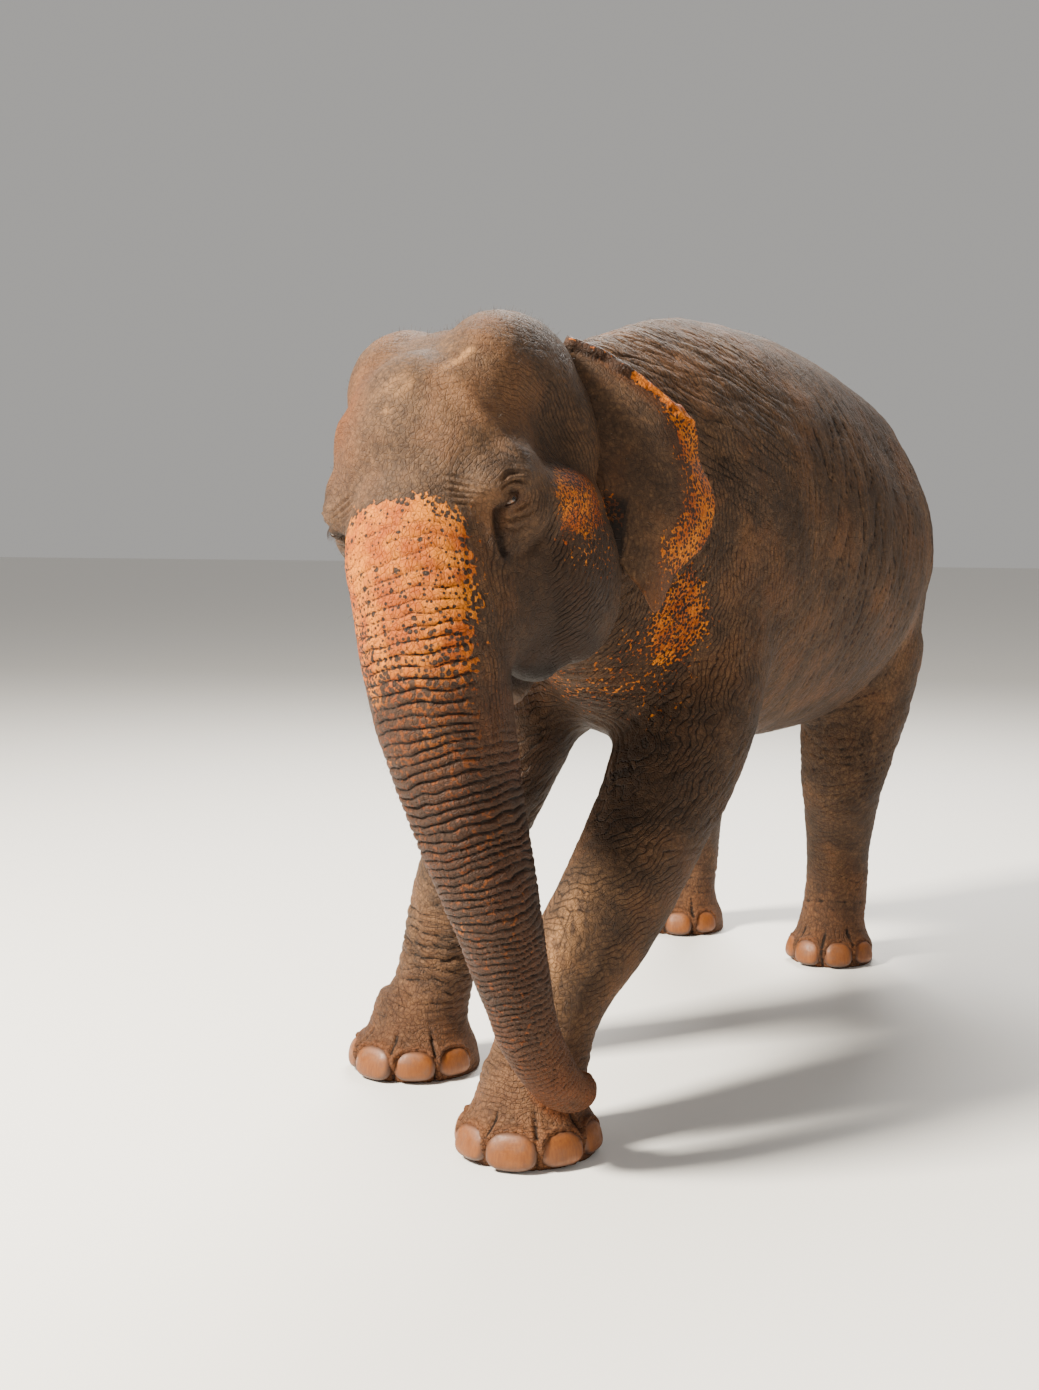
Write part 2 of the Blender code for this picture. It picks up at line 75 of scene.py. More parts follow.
def addObject(name, mesh):
    thing = bpy.data.objects.new(name, mesh)
    bpy.context.scene.collection.objects.link(thing)
    return thing


def meshFrom(build):
    bm = bmesh.new()
    build(bm)
    bmesh.ops.recalc_face_normals(bm, faces=bm.faces)
    mesh = bpy.data.meshes.new("shape")
    bm.to_mesh(mesh)
    bm.free()
    return mesh


def settle(thing):
    # replaces the object's mesh with what its modifiers make of it
    depsgraph = bpy.context.evaluated_depsgraph_get()
    made = bpy.data.meshes.new_from_object(thing.evaluated_get(depsgraph))
    thing.modifiers.clear()
    thing.data = made
    return thing


def egg(centre, radii, turn=(0, 0, 0), placeIn=Matrix(), around=48):
    spin = Euler([math.radians(angle) for angle in turn]).to_matrix().to_4x4()
    place = placeIn @ Matrix.Translation(Vector(centre)) @ spin @ Matrix.Diagonal((*radii, 1.0))
    return meshFrom(lambda bm: bmesh.ops.create_uvsphere(
        bm, u_segments=around, v_segments=around * 5 // 8, radius=1.0, matrix=place))


def tube(points, placeIn=Matrix()):
    # a closed round limb through (x, y, z, radius) points
    curve = bpy.data.curves.new("tube", "CURVE")
    curve.dimensions = "3D"
    curve.bevel_depth = 1.0
    curve.bevel_resolution = 10
    curve.resolution_u = 10
    curve.use_fill_caps = True
    spline = curve.splines.new("BEZIER")
    spline.radius_interpolation = "CARDINAL"
    spline.bezier_points.add(len(points) - 1)
    for knot, (x, y, z, radius) in zip(spline.bezier_points, points):
        knot.co = placeIn @ Vector((x, y, z))
        knot.radius = radius
        knot.handle_left_type = knot.handle_right_type = "AUTO"
    holder = addObject("tube", curve)
    depsgraph = bpy.context.evaluated_depsgraph_get()
    mesh = bpy.data.meshes.new_from_object(holder.evaluated_get(depsgraph))
    bpy.data.objects.remove(holder)

    bm = bmesh.new()
    bm.from_mesh(mesh)
    bmesh.ops.remove_doubles(bm, verts=bm.verts, dist=0.0001)
    bmesh.ops.recalc_face_normals(bm, faces=bm.faces)
    bm.to_mesh(mesh)
    bm.free()
    return mesh


def loft(rings):
    def build(bm):
        loops = [[bm.verts.new(point) for point in ring] for ring in rings]
        for near, far in zip(loops, loops[1:]):
            for i in range(len(near)):
                j = (i + 1) % len(near)
                bm.faces.new((near[i], near[j], far[j], far[i]))
        bm.faces.new(loops[0])
        bm.faces.new(loops[-1])
    return meshFrom(build)


def fuse(name, meshes, grain, smoothing):
    # one closed body from overlapping masses, with its joins softened
    bm = bmesh.new()
    for mesh in meshes:
        bm.from_mesh(mesh)
    joined = bpy.data.meshes.new(name)
    bm.to_mesh(joined)
    bm.free()
    body = addObject(name, joined)
    remesh = body.modifiers.new("fuse", "REMESH")
    remesh.mode = "VOXEL"
    remesh.voxel_size = grain
    soften = body.modifiers.new("soften", "SMOOTH")
    soften.factor = 0.5
    soften.iterations = smoothing
    return settle(body)


def curveThrough(points, share):
    # a point on a smooth curve through the points, at a share of its length from 0 to 1
    place = share * (len(points) - 1)
    i = min(int(place), len(points) - 2)
    t = place - i
    a, b, c, d = (Vector(points[min(max(k, 0), len(points) - 1)]) for k in range(i - 1, i + 3))
    return 0.5 * (2 * b + (c - a) * t + (2 * a - 5 * b + 4 * c - d) * t * t
                  + (3 * b - a - 3 * c + d) * t ** 3)


def sampled(points, count):
    return np.array([curveThrough(points, i / (count - 1)) for i in range(count)])


# Masses of flesh. Torso sections: place along the body, sideways shift, half width,
# height of the back and of the belly.
torsoSections = (
    (-1.08, -0.12, 0.22, 2.04, 1.42),
    (-0.88, -0.09, 0.25, 2.16, 1.32),
    (-0.66, -0.04, 0.28, 2.22, 1.20),
    (-0.44, -0.01, 0.33, 2.27, 1.04),
    (-0.20, 0.01, 0.40, 2.32, 0.98),
    (0.12, 0.02, 0.48, 2.34, 0.97),
    (0.50, 0.03, 0.56, 2.345, 0.94),
    (0.86, 0.04, 0.585, 2.315, 0.93),
    (1.16, 0.05, 0.55, 2.24, 1.02),
    (1.43, 0.06, 0.46, 2.11, 1.25),
    (1.64, 0.06, 0.31, 1.94, 1.45),
    (1.74, 0.06, 0.14, 1.80, 1.58),
)
sectionShape = {"points": 40, "widestAt": 0.46, "backTaper": 0.16, "bellyTaper": 0.05}


def torsoRing(y, shift, halfWidth, back, belly):
    middle = belly + (back - belly) * sectionShape["widestAt"]
    ring = []
    for i in range(sectionShape["points"]):
        angle = math.tau * i / sectionShape["points"]
        across, up = math.cos(angle), math.sin(angle)
        reach = back - middle if up > 0 else middle - belly
        taper = sectionShape["backTaper"] if up > 0 else sectionShape["bellyTaper"]
        ring.append(Vector((shift + halfWidth * across * (1 - taper * up * up), y, middle + reach * up)))
    return ring


torsoEggs = (
    # middle, half sizes and turn in degrees
    ((0.24, -0.08, 1.62), (0.15, 0.28, 0.44), (8, 6, 0)),       # shoulder blades
    ((-0.24, -0.08, 1.62), (0.15, 0.28, 0.44), (8, -6, 0)),
    ((0.22, -0.22, 1.30), (0.17, 0.25, 0.34), (-18, 4, 0)),     # upper arms
    ((-0.27, -0.24, 1.30), (0.17, 0.24, 0.34), (-10, 8, 0)),
    ((0.33, 1.24, 1.40), (0.21, 0.36, 0.50), (-8, 5, 0)),       # thighs
    ((-0.25, 1.27, 1.40), (0.21, 0.36, 0.50), (-8, 5, 0)),
)


def torsoMasses():
    return [loft([torsoRing(*section) for section in torsoSections])] + [egg(*form) for form in torsoEggs]


# Legs: (x, y, z, radius) from the shoulder or hip to the ankle; facing is in degrees.
foreFoot = {"radius": 0.194, "ankle": 0.118, "height": 0.26}
hindFoot = {"radius": 0.165, "ankle": 0.105, "height": 0.24}
legs = {
    "forefoot_left": {
        "line": ((0.21, -0.20, 1.34, 0.19), (0.190, -0.37, 1.06, 0.202), (0.160, -0.60, 0.82, 0.178),
                 (0.118, -0.86, 0.58, 0.162), (0.052, -1.06, 0.37, 0.139), (0.030, -1.13, 0.15, 0.138)),
        "sole": (0.026, -1.165), "facing": 12, "build": foreFoot, "nails": 5},
    "forefoot_right": {
        "line": ((-0.29, -0.26, 1.34, 0.19), (-0.355, -0.40, 1.05, 0.178), (-0.435, -0.50, 0.78, 0.155),
                 (-0.505, -0.56, 0.54, 0.139), (-0.550, -0.595, 0.32, 0.124), (-0.580, -0.62, 0.15, 0.132)),
        "sole": (-0.593, -0.64), "facing": -15, "build": foreFoot, "nails": 5},
    "hindfoot_left": {
        "line": ((0.33, 1.24, 1.28, 0.23), (0.31, 1.16, 1.00, 0.205), (0.28, 1.13, 0.76, 0.165),
                 (0.24, 1.23, 0.50, 0.131), (0.22, 1.28, 0.28, 0.122), (0.21, 1.28, 0.14, 0.127)),
        "sole": (0.21, 1.26), "facing": 4, "build": hindFoot, "nails": 4},
    "hindfoot_right": {
        "line": ((-0.27, 1.27, 1.28, 0.23), (-0.32, 1.24, 1.00, 0.205), (-0.39, 1.31, 0.76, 0.165),
                 (-0.44, 1.46, 0.50, 0.131), (-0.475, 1.53, 0.28, 0.122), (-0.49, 1.54, 0.14, 0.127)),
        "sole": (-0.49, 1.525), "facing": -8, "build": hindFoot, "nails": 4},
}
footShape = {"sunk": 0.012, "length": 1.05, "padMiddle": (0, -0.02, 0.06), "padHeight": 0.085}


def footFrame(leg):
    # a frame at the middle of the sole, with -Y to the toes
    return Matrix.Translation((*leg["sole"], 0)) @ Matrix.Rotation(math.radians(leg["facing"]), 4, "Z")


def footMasses(leg):
    size = leg["build"]
    middle = Matrix.Translation((0, 0, size["height"] / 2 - footShape["sunk"]))
    place = footFrame(leg) @ middle @ Matrix.Diagonal((1, footShape["length"], 1, 1))
    column = meshFrom(lambda bm: bmesh.ops.create_cone(
        bm, cap_ends=True, segments=64, radius1=size["radius"], radius2=size["ankle"],
        depth=size["height"], matrix=place))
    padRadii = (size["radius"], size["radius"] * footShape["length"], footShape["padHeight"])
    return [column, egg(footShape["padMiddle"], padRadii, placeIn=footFrame(leg))]


# Head, in its own frame: middle, half sizes and turn in degrees of each mass
middleEggs = (
    ((0, 0.12, 0.13), (0.255, 0.34, 0.36)),                        # skull
    ((0, -0.13, 0.13), (0.150, 0.185, 0.27)),                      # middle of the forehead
    ((0, -0.17, -0.08), (0.235, 0.160, 0.21)),                     # root of the trunk
    ((0, 0.13, -0.24), (0.19, 0.22, 0.22)),                        # throat
)
sideEggs = (
    # on her left; the right side mirrors them
    ((0.135, 0.14, 0.295), (0.155, 0.31, 0.225), (0, 0, 0)),       # dome
    ((0.095, -0.10, 0.07), (0.155, 0.20, 0.31), (0, 0, 0)),        # forehead
    ((0.219, -0.158, 0.065), (0.087, 0.140, 0.075), (24, 24, 0)),  # brow
    ((0.195, 0.03, 0.13), (0.085, 0.20, 0.15), (0, 0, 0)),         # temple
    ((0.165, -0.02, -0.19), (0.105, 0.17, 0.21), (0, 0, 0)),       # face
    ((0.200, 0.26, 0.16), (0.105, 0.17, 0.24), (0, 0, 0)),         # under the ear
    ((0.245, 0.08, -0.02), (0.088, 0.27, 0.12), (-6, 0, 0)),       # cheekbone
    ((0.205, 0.14, -0.18), (0.145, 0.24, 0.26), (0, 0, 0)),        # cheek
    ((0.150, 0.02, -0.36), (0.080, 0.16, 0.11), (0, 0, 0)),        # corner of the mouth
    ((0.150, -0.15, -0.22), (0.085, 0.12, 0.20), (-8, -4, 0)),     # tusk sheath
)
jawLine = ((0, 0.14, -0.30, 0.16), (0, 0.10, -0.41, 0.125), (0, 0.055, -0.50, 0.080))


def headMasses():
    masses = [egg(*form, placeIn=headFrame) for form in middleEggs] + [tube(jawLine, headFrame)]
    for side in (1, -1):
        for (x, y, z), radii, (pitch, roll, yaw) in sideEggs:
            masses.append(egg((side * x, y, z), radii, (pitch, side * roll, yaw), headFrame))
    return masses


# Trunk: (x, y, z, radius) from inside the forehead to the tip
trunkLine = (
    (-0.160, -1.370, 1.84, 0.150), (-0.140, -1.450, 1.66, 0.192), (-0.101, -1.490, 1.50, 0.194),
    (-0.054, -1.510, 1.252, 0.180), (0.000, -1.500, 1.004, 0.152), (0.065, -1.475, 0.757, 0.122),
    (0.112, -1.424, 0.501, 0.092), (0.134, -1.387, 0.370, 0.079), (0.170, -1.324, 0.255, 0.069),
    (0.195, -1.262, 0.202, 0.057), (0.213, -1.203, 0.199, 0.046),
)
tailLine = ((0.060, 1.62, 1.88, 0.085), (0.062, 1.77, 1.81, 0.062), (0.066, 1.835, 1.64, 0.046),
            (0.070, 1.855, 1.42, 0.035), (0.072, 1.855, 1.18, 0.028), (0.072, 1.845, 0.96, 0.022))


# The skin, fused in three goes: torso and legs, then head and feet, then trunk and tail

grain = skinSettings["grain"]
limbs = [tube(leg["line"]) for leg in legs.values()]
torso = fuse("torso", torsoMasses() + limbs, skinSettings["torsoGrain"], skinSettings["torsoSmoothing"])
masses = [torso.data, tube(trunkLine[:5])] + headMasses()
for leg in legs.values():
    masses += footMasses(leg)
smoothing = round(4 * (skinSettings["spread"] / grain) ** 2)
flesh = fuse("flesh", masses, grain, smoothing)
report(f"flesh fused, {len(flesh.data.vertices)} points, {smoothing} passes")
skin = fuse("skin", [flesh.data, tube(trunkLine), tube(tailLine)], grain, skinSettings["seamPasses"])
for spare in (torso, flesh):
    bpy.data.objects.remove(spare)
report(f"skin fused, {len(skin.data.vertices)} points")


# Sculpting tools, all on arrays of points

def pointsOf(mesh):
    values = np.empty(len(mesh.vertices) * 3, np.float32)
    mesh.vertices.foreach_get("co", values)
    return values.reshape(-1, 3).astype(np.float64)


def normalsOf(mesh):
    values = np.empty(len(mesh.vertices) * 3, np.float32)
    mesh.vertex_normals.foreach_get("vector", values)
    return values.reshape(-1, 3).astype(np.float64)


def movePoints(mesh, points):
    mesh.vertices.foreach_set("co", points.astype(np.float32).ravel())
    mesh.update()


def attributeOf(mesh, name):
    values = np.zeros(len(mesh.vertices), np.float32)
    if name in mesh.attributes:
        mesh.attributes[name].data.foreach_get("value", values)
    return values.astype(np.float64)


def store(mesh, name, values):
    if name in mesh.attributes:
        mesh.attributes.remove(mesh.attributes[name])
    mesh.attributes.new(name, "FLOAT", "POINT").data.foreach_set("value", values.astype(np.float32))


def ramp(low, high, values):
    t = np.clip((values - low) / (high - low), 0, 1)
    return t * t * (3 - 2 * t)


def unit(vector):
    vector = np.array(vector, float)
    return vector / np.linalg.norm(vector)


gradients = np.random.default_rng(7).normal(size=(256, 3))
gradients /= np.linalg.norm(gradients, axis=1)[:, None]
shuffled = np.random.default_rng(11).permutation(256)


def noise(points, size, seed=0):
    # smooth noise from about -1 to 1, with features of this size in metres
    place = points / size + seed * 17.31
    cell = np.floor(place).astype(np.int64)
    part = place - cell
    ease = part ** 3 * (part * (part * 6 - 15) + 10)
    total = np.zeros(len(points))
    for dx in (0, 1):
        for dy in (0, 1):
            for dz in (0, 1):
                corner = shuffled[(cell[:, 0] + dx) & 255]
                corner = shuffled[(corner + cell[:, 1] + dy) & 255]
                corner = shuffled[(corner + cell[:, 2] + dz) & 255]
                reach = part - (dx, dy, dz)
                weight = (np.where(dx, ease[:, 0], 1 - ease[:, 0])
                          * np.where(dy, ease[:, 1], 1 - ease[:, 1])
                          * np.where(dz, ease[:, 2], 1 - ease[:, 2]))
                total += weight * (gradients[corner] * reach).sum(1)
    return total * 1.6


def folds(points, across, spacing, stretch, seed=0, sharpness=0.16):
    # rounded ridges between sharp creases: 0 in a crease and near 1 on a ridge. They follow each
    # other in the direction across, and run the other way
    across = unit(across)
    wander = 0.45 * spacing * noise(points, spacing * 5, seed + 3)
    run = points @ across
    place = points / stretch + np.outer(run * (1 - 1 / stretch) + wander, across)
    height = np.abs(noise(place, spacing * 1.25, seed))
    return height / (height + sharpness) * (1 + sharpness)


def wrinkles(points, across, spacing, stretch, seed):
    # folds measured from near their ridges, so that they cut in more than they swell
    return folds(points, across, spacing, stretch, seed) - 0.9


def ringed(phase, sharpness=0.55):
    # rounded rings between creases, one to each whole number
    return np.abs(np.sin(np.pi * phase)) ** sharpness


def blob(points, centre, radii):
    # 1 at a place and falling away round it
    return np.exp(-0.5 * (((points - centre) / radii) ** 2).sum(1))


def nearLine(points, line):
    # distance from each point to a line of points, and the number of the nearest one
    nearest = np.full(len(points), np.inf)
    which = np.zeros(len(points), int)
    for i, spot in enumerate(line):
        distance = ((points - spot) ** 2).sum(1)
        closer = distance < nearest
        nearest[closer] = distance[closer]
        which[closer] = i
    return np.sqrt(nearest), which


def hump(distance, width):
    # 1 on a line and falling away to each side of it
    return np.exp(-(distance / width) ** 2)


def groove(distance, width, depth, lip=0.3):
    # a crease with soft lips beside it
    return -depth * hump(distance, width) + lip * depth * hump(distance - 2 * width, width)


class Limb:
    # places along and around a limb, for all points near it
    def __init__(self, points, line, front):
        knots = sampled([knot[:3] for knot in line], 240)
        radii = sampled([(knot[3], 0, 0) for knot in line], 240)[:, 0]
        front = np.array(front, float)
        steps = np.diff(knots, axis=0)
        lengths = np.linalg.norm(steps, axis=1)
        arc = np.concatenate([[0], np.cumsum(lengths)])
        tangents = np.gradient(knots, axis=0)
        tangents /= np.linalg.norm(tangents, axis=1)[:, None]
        distance, which = nearLine(points, knots)
        offset = points - knots[which]
        tangent = tangents[which]
        rise = (offset * tangent).sum(1)
        self.along = arc[which] + rise
        self.length = arc[-1]
        across = offset - rise[:, None] * tangent
        ahead = front - tangent * (tangent @ front)[:, None]
        ahead /= np.linalg.norm(ahead, axis=1)[:, None]
        sideways = np.cross(ahead, tangent)
        self.angle = np.arctan2((across * sideways).sum(1), (across * ahead).sum(1))
        self.near = distance / radii[which]      # under 1 inside the limb


headMatrix = np.array(headFrame)
headInverse = np.array(headFrame.inverted())


def inHead(points):
    return points @ headInverse[:3, :3].T + headInverse[:3, 3]


def mirrored(points):
    return points * np.where(points[:, :1] < 0, (-1.0, 1.0, 1.0), (1.0, 1.0, 1.0))


# Finer faces where the face, the trunk and the fore feet need them

def refine(thing, chosen):
    # splits the faces that lie wholly among the chosen points
    mesh = thing.data
    bm = bmesh.new()
    bm.from_mesh(mesh)
    bm.verts.ensure_lookup_table()
    edges = [edge for edge in bm.edges if chosen[edge.verts[0].index] and chosen[edge.verts[1].index]]
    bmesh.ops.subdivide_edges(bm, edges=edges, cuts=1, use_grid_fill=True)
    bm.to_mesh(mesh)
    bm.free()


def soften(thing, weights, passes):
    # smooths each point by its own weight, from 0 to 1
    levels = 20
    group = thing.vertex_groups.new(name="soft")
    steps = np.round(weights * levels).astype(int)
    for step in range(1, levels + 1):
        group.add(np.flatnonzero(steps == step).tolist(), step / levels, "REPLACE")
    modifier = thing.modifiers.new("soften", "SMOOTH")
    modifier.factor = 0.5
    modifier.iterations = passes
    modifier.vertex_group = "soft"
    settle(thing)
    thing.vertex_groups.clear()


def faceZone(points):
    # the head to behind the cheeks, and the trunk
    h = inHead(points)
    head = (h[:, 1] < 0.20) & (h[:, 2] > -0.62) & (points[:, 1] < -0.95)
    trunk = points[:, 1] < -1.18
    return (head | trunk) & (points[:, 2] > 0.10)


def frontZone(points):
    # the face, shoulders and forelegs
    shoulder = (points[:, 1] < 0.10) & (points[:, 2] > 0.95) & (points[:, 0] > -0.30)
    legs = (points[:, 1] < -0.45) & (points[:, 2] > 0.02)
    return faceZone(points) | shoulder | legs


eyeSettings = {
    "centre": (0.247, -0.206, -0.006),    # in the head's frame, on her left side
    "outward": (0.84, -0.51, -0.16),
    "radius": 0.021,
    "slant": 40,                          # degrees that the outer corner stands over the inner one
    "halfLength": 0.0260,
    "halfOpening": 0.0090,
    "lid": 0.0035,                        # thickness of the lids over the eyeball
    "clear": 0.004,                       # how far the skin stays under the ball in the slit
    "margin": 0.0018,                     # height of the lids' rolled edges
    "blend": (0.042, 0.018),              # from the eye's middle: where the lids begin and are full
    "creasesReach": 0.26,
}
eyeSpot = np.array(eyeSettings["centre"])
eyeOut = unit(eyeSettings["outward"])
eyeUp = unit(np.array((0, 0, 1.0)) - eyeOut * eyeOut[2])
eyeBack = np.cross(eyeUp, eyeOut)


def inEyePlane(headPoints):
    # places before the eye: back along the face, up it, and out of it
    offset = headPoints - eyeSpot
    return np.column_stack([offset @ eyeBack, offset @ eyeUp, offset @ eyeOut])


plainSettings = {
    # places of the head that are smoothed more: middle, spread and share
    "face": (
        ((0.26, -0.18, 0.01), (0.07, 0.100, 0.075), 1.30),    # round the eye
        ((0.30, 0.00, -0.05), (0.06, 0.08, 0.06), 1.30),      # cheekbone
        ((0.19, -0.25, 0.02), (0.05, 0.06, 0.05), 1.30),      # before the eye
        ((0.25, 0.00, 0.17), (0.08, 0.12, 0.10), 1.04),       # temple
        ((0.20, -0.14, -0.30), (0.05, 0.06, 0.14), 1.30),     # between cheek and trunk
    ),
    "facePasses": 30,
    "feet": 0.55,
    "forehead": ((0.05, -0.20, 0.30), (0.12, 0.13, 0.13), 1.5),
    "foreheadPasses": 80,
    "eyeReach": (0.17, 0.055),       # round each eye the faces are split twice more
}


def blobs(points, places):
    # the sum of soft spots, each with a middle, spread and strength
    return sum(strength * blob(points, middle, spread) for middle, spread, strength in places)


points = pointsOf(skin.data)
h = mirrored(inHead(points))
plain = blobs(h, plainSettings["face"]) + plainSettings["feet"] * ramp(0.26, 0.20, points[:, 2])
soften(skin, np.clip(plain, 0, 1), plainSettings["facePasses"])
soften(skin, np.clip(blobs(h, [plainSettings["forehead"]]), 0, 1), plainSettings["foreheadPasses"])
refine(skin, frontZone(pointsOf(skin.data)))
for reach in plainSettings["eyeReach"]:
    near = np.linalg.norm(inEyePlane(mirrored(inHead(pointsOf(skin.data)))), axis=1)
    refine(skin, near < reach)
soften(skin, faceZone(pointsOf(skin.data)).astype(float), 4)
report(f"face refined, {len(skin.data.vertices)} points")


# Forms: bumps and hollows of the head and body, before any fold

headForms = (
    # place in the head's frame on her left side, spread, height
    ((0.275, 0.05, 0.17), (0.10, 0.075, 0.080), -0.030),     # hollow of the temple
    ((0.290, 0.00, 0.10), (0.10, 0.050, 0.050), -0.010),
    ((0.330, 0.06, 0.00), (0.06, 0.060, 0.055), 0.012),      # cheekbone
    ((0.262, -0.20, 0.078), (0.05, 0.038, 0.026), -0.018),   # pit under the brow
    ((0.000, -0.20, 0.330), (0.07, 0.140, 0.090), 0.026),    # between the domes
    ((0.100, -0.26, 0.200), (0.06, 0.080, 0.110), 0.014),    # beside the middle of the forehead
    ((0.200, -0.24, -0.060), (0.035, 0.030, 0.055), -0.012),  # before the eye
    ((0.275, -0.14, -0.070), (0.05, 0.040, 0.040), 0.016),   # bag under the eye
    ((0.290, -0.01, -0.270), (0.07, 0.070, 0.100), 0.006),   # cheek
    ((0.205, -0.16, -0.300), (0.04, 0.030, 0.120), -0.012),  # between cheek and trunk
)
browForm = {
    "line": ((0.185, -0.225, 0.250), (0.205, -0.205, 0.200), (0.240, -0.180, 0.145), (0.272, -0.180, 0.100),
             (0.285, -0.175, 0.060)),
    "height": 0.013,
    "width": 0.030,
}
bodyForms = (
    # the same in the body's frame, on both sides
    ((0.02, 0.40, 2.35), (0.035, 1.00, 0.20), 0.012),        # spine
    ((0.03, 1.10, 2.25), (0.040, 0.40, 0.20), 0.010),
    ((0.36, 1.04, 2.02), (0.10, 0.10, 0.10), 0.020),         # hips
    ((-0.28, 1.04, 2.02), (0.10, 0.10, 0.10), 0.020),
    ((0.50, 0.76, 1.95), (0.16, 0.14, 0.16), -0.020),        # hollows before them
    ((-0.44, 0.76, 1.95), (0.16, 0.14, 0.16), -0.020),
    ((0.30, -0.30, 1.95), (0.12, 0.05, 0.20), 0.012),        # edges of the shoulder blades
    ((-0.30, -0.30, 1.95), (0.12, 0.05, 0.20), 0.012),
    ((0.36, 0.12, 1.75), (0.14, 0.08, 0.25), -0.014),
    ((-0.36, 0.12, 1.75), (0.14, 0.08, 0.25), -0.014),
)

points = pointsOf(skin.data)
normals = normalsOf(skin.data)
h = mirrored(inHead(points))
inFace = h[:, 1] < 0.5
rise = np.zeros(len(points))
rise[inFace] += blobs(h[inFace], headForms)
for middle, spread, height in bodyForms:
    rise += height * blob(points, middle, spread)
nearBrow = (h[:, 1] < 0.0) & (h[:, 2] > -0.1) & (h[:, 2] < 0.4)
distance = nearLine(h[nearBrow], sampled(browForm["line"], 40))[0]
rise[nearBrow] += browForm["height"] * hump(distance, browForm["width"])
headness = ramp(-0.88, -1.00, points[:, 1]) * ramp(1.10, 1.25, points[:, 2])
unevenness = {"broad": 0.004, "small": 0.0016}
rise += unevenness["broad"] * noise(points, 0.16, 1) * (1 - 0.5 * headness)
rise += unevenness["small"] * noise(points, 0.06, 2)
rise += skinSettings["lift"]
points += normals * rise[:, None]
points[:, 2] = np.maximum(points[:, 2], 0)
movePoints(skin.data, points)
report("forms")


# Eyelids: the skin lies over the eyeball and opens in a slanted slit

creasePoints = 60


def lineInEyePlane(line):
    # the same points as seen from before the eye, for creases that keep their place on the face
    return sampled([tuple(point) for point in inEyePlane(np.array(line, float)) * (1, 1, 0)], creasePoints)


eyeCreases = (
    # points in the head's frame, width, depth, how much of each end fades
    (((0.236, -0.230, -0.026), (0.224, -0.224, -0.050), (0.219, -0.219, -0.100), (0.217, -0.205, -0.145)),
     0.0120, 0.0150, 0.15),
    (((0.310, -0.100, 0.015), (0.308, -0.080, -0.040), (0.280, -0.083, -0.095), (0.245, -0.125, -0.133),
      (0.220, -0.190, -0.150)), 0.0140, 0.0075, 0.35),
    (((0.232, -0.246, 0.008), (0.246, -0.238, 0.026), (0.268, -0.207, 0.036), (0.294, -0.160, 0.026)),
     0.0050, 0.0068, 0.25),
    (((0.240, -0.246, 0.032), (0.260, -0.224, 0.054), (0.288, -0.175, 0.052)), 0.0060, 0.0054, 0.3),
    (((0.245, -0.217, -0.036), (0.264, -0.190, -0.035), (0.284, -0.158, -0.014)), 0.0042, 0.0041, 0.3),
    (((0.238, -0.222, -0.049), (0.258, -0.193, -0.058), (0.288, -0.140, -0.034)), 0.0055, 0.0041, 0.3),
    (((0.232, -0.222, -0.068), (0.255, -0.185, -0.083), (0.286, -0.120, -0.060)), 0.0060, 0.0034, 0.35),
    (((0.100, -0.301, 0.074), (0.160, -0.290, 0.060), (0.222, -0.262, 0.024)), 0.0045, 0.0034, 0.5),
    (((0.105, -0.306, 0.056), (0.160, -0.294, 0.042), (0.222, -0.262, 0.012)), 0.0045, 0.0040, 0.5),
    (((0.110, -0.311, 0.038), (0.160, -0.300, 0.026), (0.220, -0.258, 0.002)), 0.0045, 0.0040, 0.5),
    (((0.125, -0.312, 0.020), (0.170, -0.297, 0.010), (0.216, -0.255, -0.008)), 0.0045, 0.0037, 0.5),
    (((0.140, -0.310, 0.000), (0.175, -0.292, -0.008), (0.212, -0.250, -0.020)), 0.0040, 0.0032, 0.5),
)

s = eyeSettings
points = pointsOf(skin.data)
h = inHead(points)
near = np.linalg.norm(inEyePlane(mirrored(h)), axis=1) < s["creasesReach"]
sideSign = np.where(h[near, 0] > 0, 1.0, -1.0)
plane = inEyePlane(mirrored(h[near]))
front = plane[:, 2] > -0.08
a, b, n = plane.T              # back along the face, up it, and out of it
slant = math.radians(s["slant"])
u = a * math.cos(slant) + b * math.sin(slant)
v = b * math.cos(slant) - a * math.sin(slant)
ball = s["radius"] + s["lid"]
dome = np.sqrt(np.clip(ball ** 2 - a ** 2 - b ** 2, 0, None))
reach = np.sqrt(a ** 2 + b ** 2)
skirt = ball * 0.714 - (reach - ball * 0.70) * 0.45      # the lids run out of the ball's dome
target = np.where(reach < ball * 0.70, dome, skirt)
cover = ramp(*s["blend"], reach) * front
n = n + cover * (target - n)

# the slit, along u and across it in v
bow = 1 - (u / s["halfLength"]) ** 2
lower = -s["halfOpening"] * 0.9 * bow
upper = s["halfOpening"] * 0.55 * bow
opening = np.minimum(v - lower, upper - v)
inside = ramp(-0.0004, 0.0012, opening) * (bow > 0) * front
margin = hump(opening + 0.0022, 0.0018) * ramp(-0.2, 0.15, bow) * front
n = n + s["margin"] * margin
behind = np.sqrt(np.clip((s["radius"] - s["clear"]) ** 2 - a ** 2 - b ** 2, 0, None))
n = np.where(inside > 0, n * (1 - inside) + inside * behind, n)
moved = mirrored(h[near]) + np.outer(n - plane[:, 2], eyeOut)
moved[:, 0] *= sideSign
points[near] = moved @ headMatrix[:3, :3].T + headMatrix[:3, 3]
movePoints(skin.data, points)

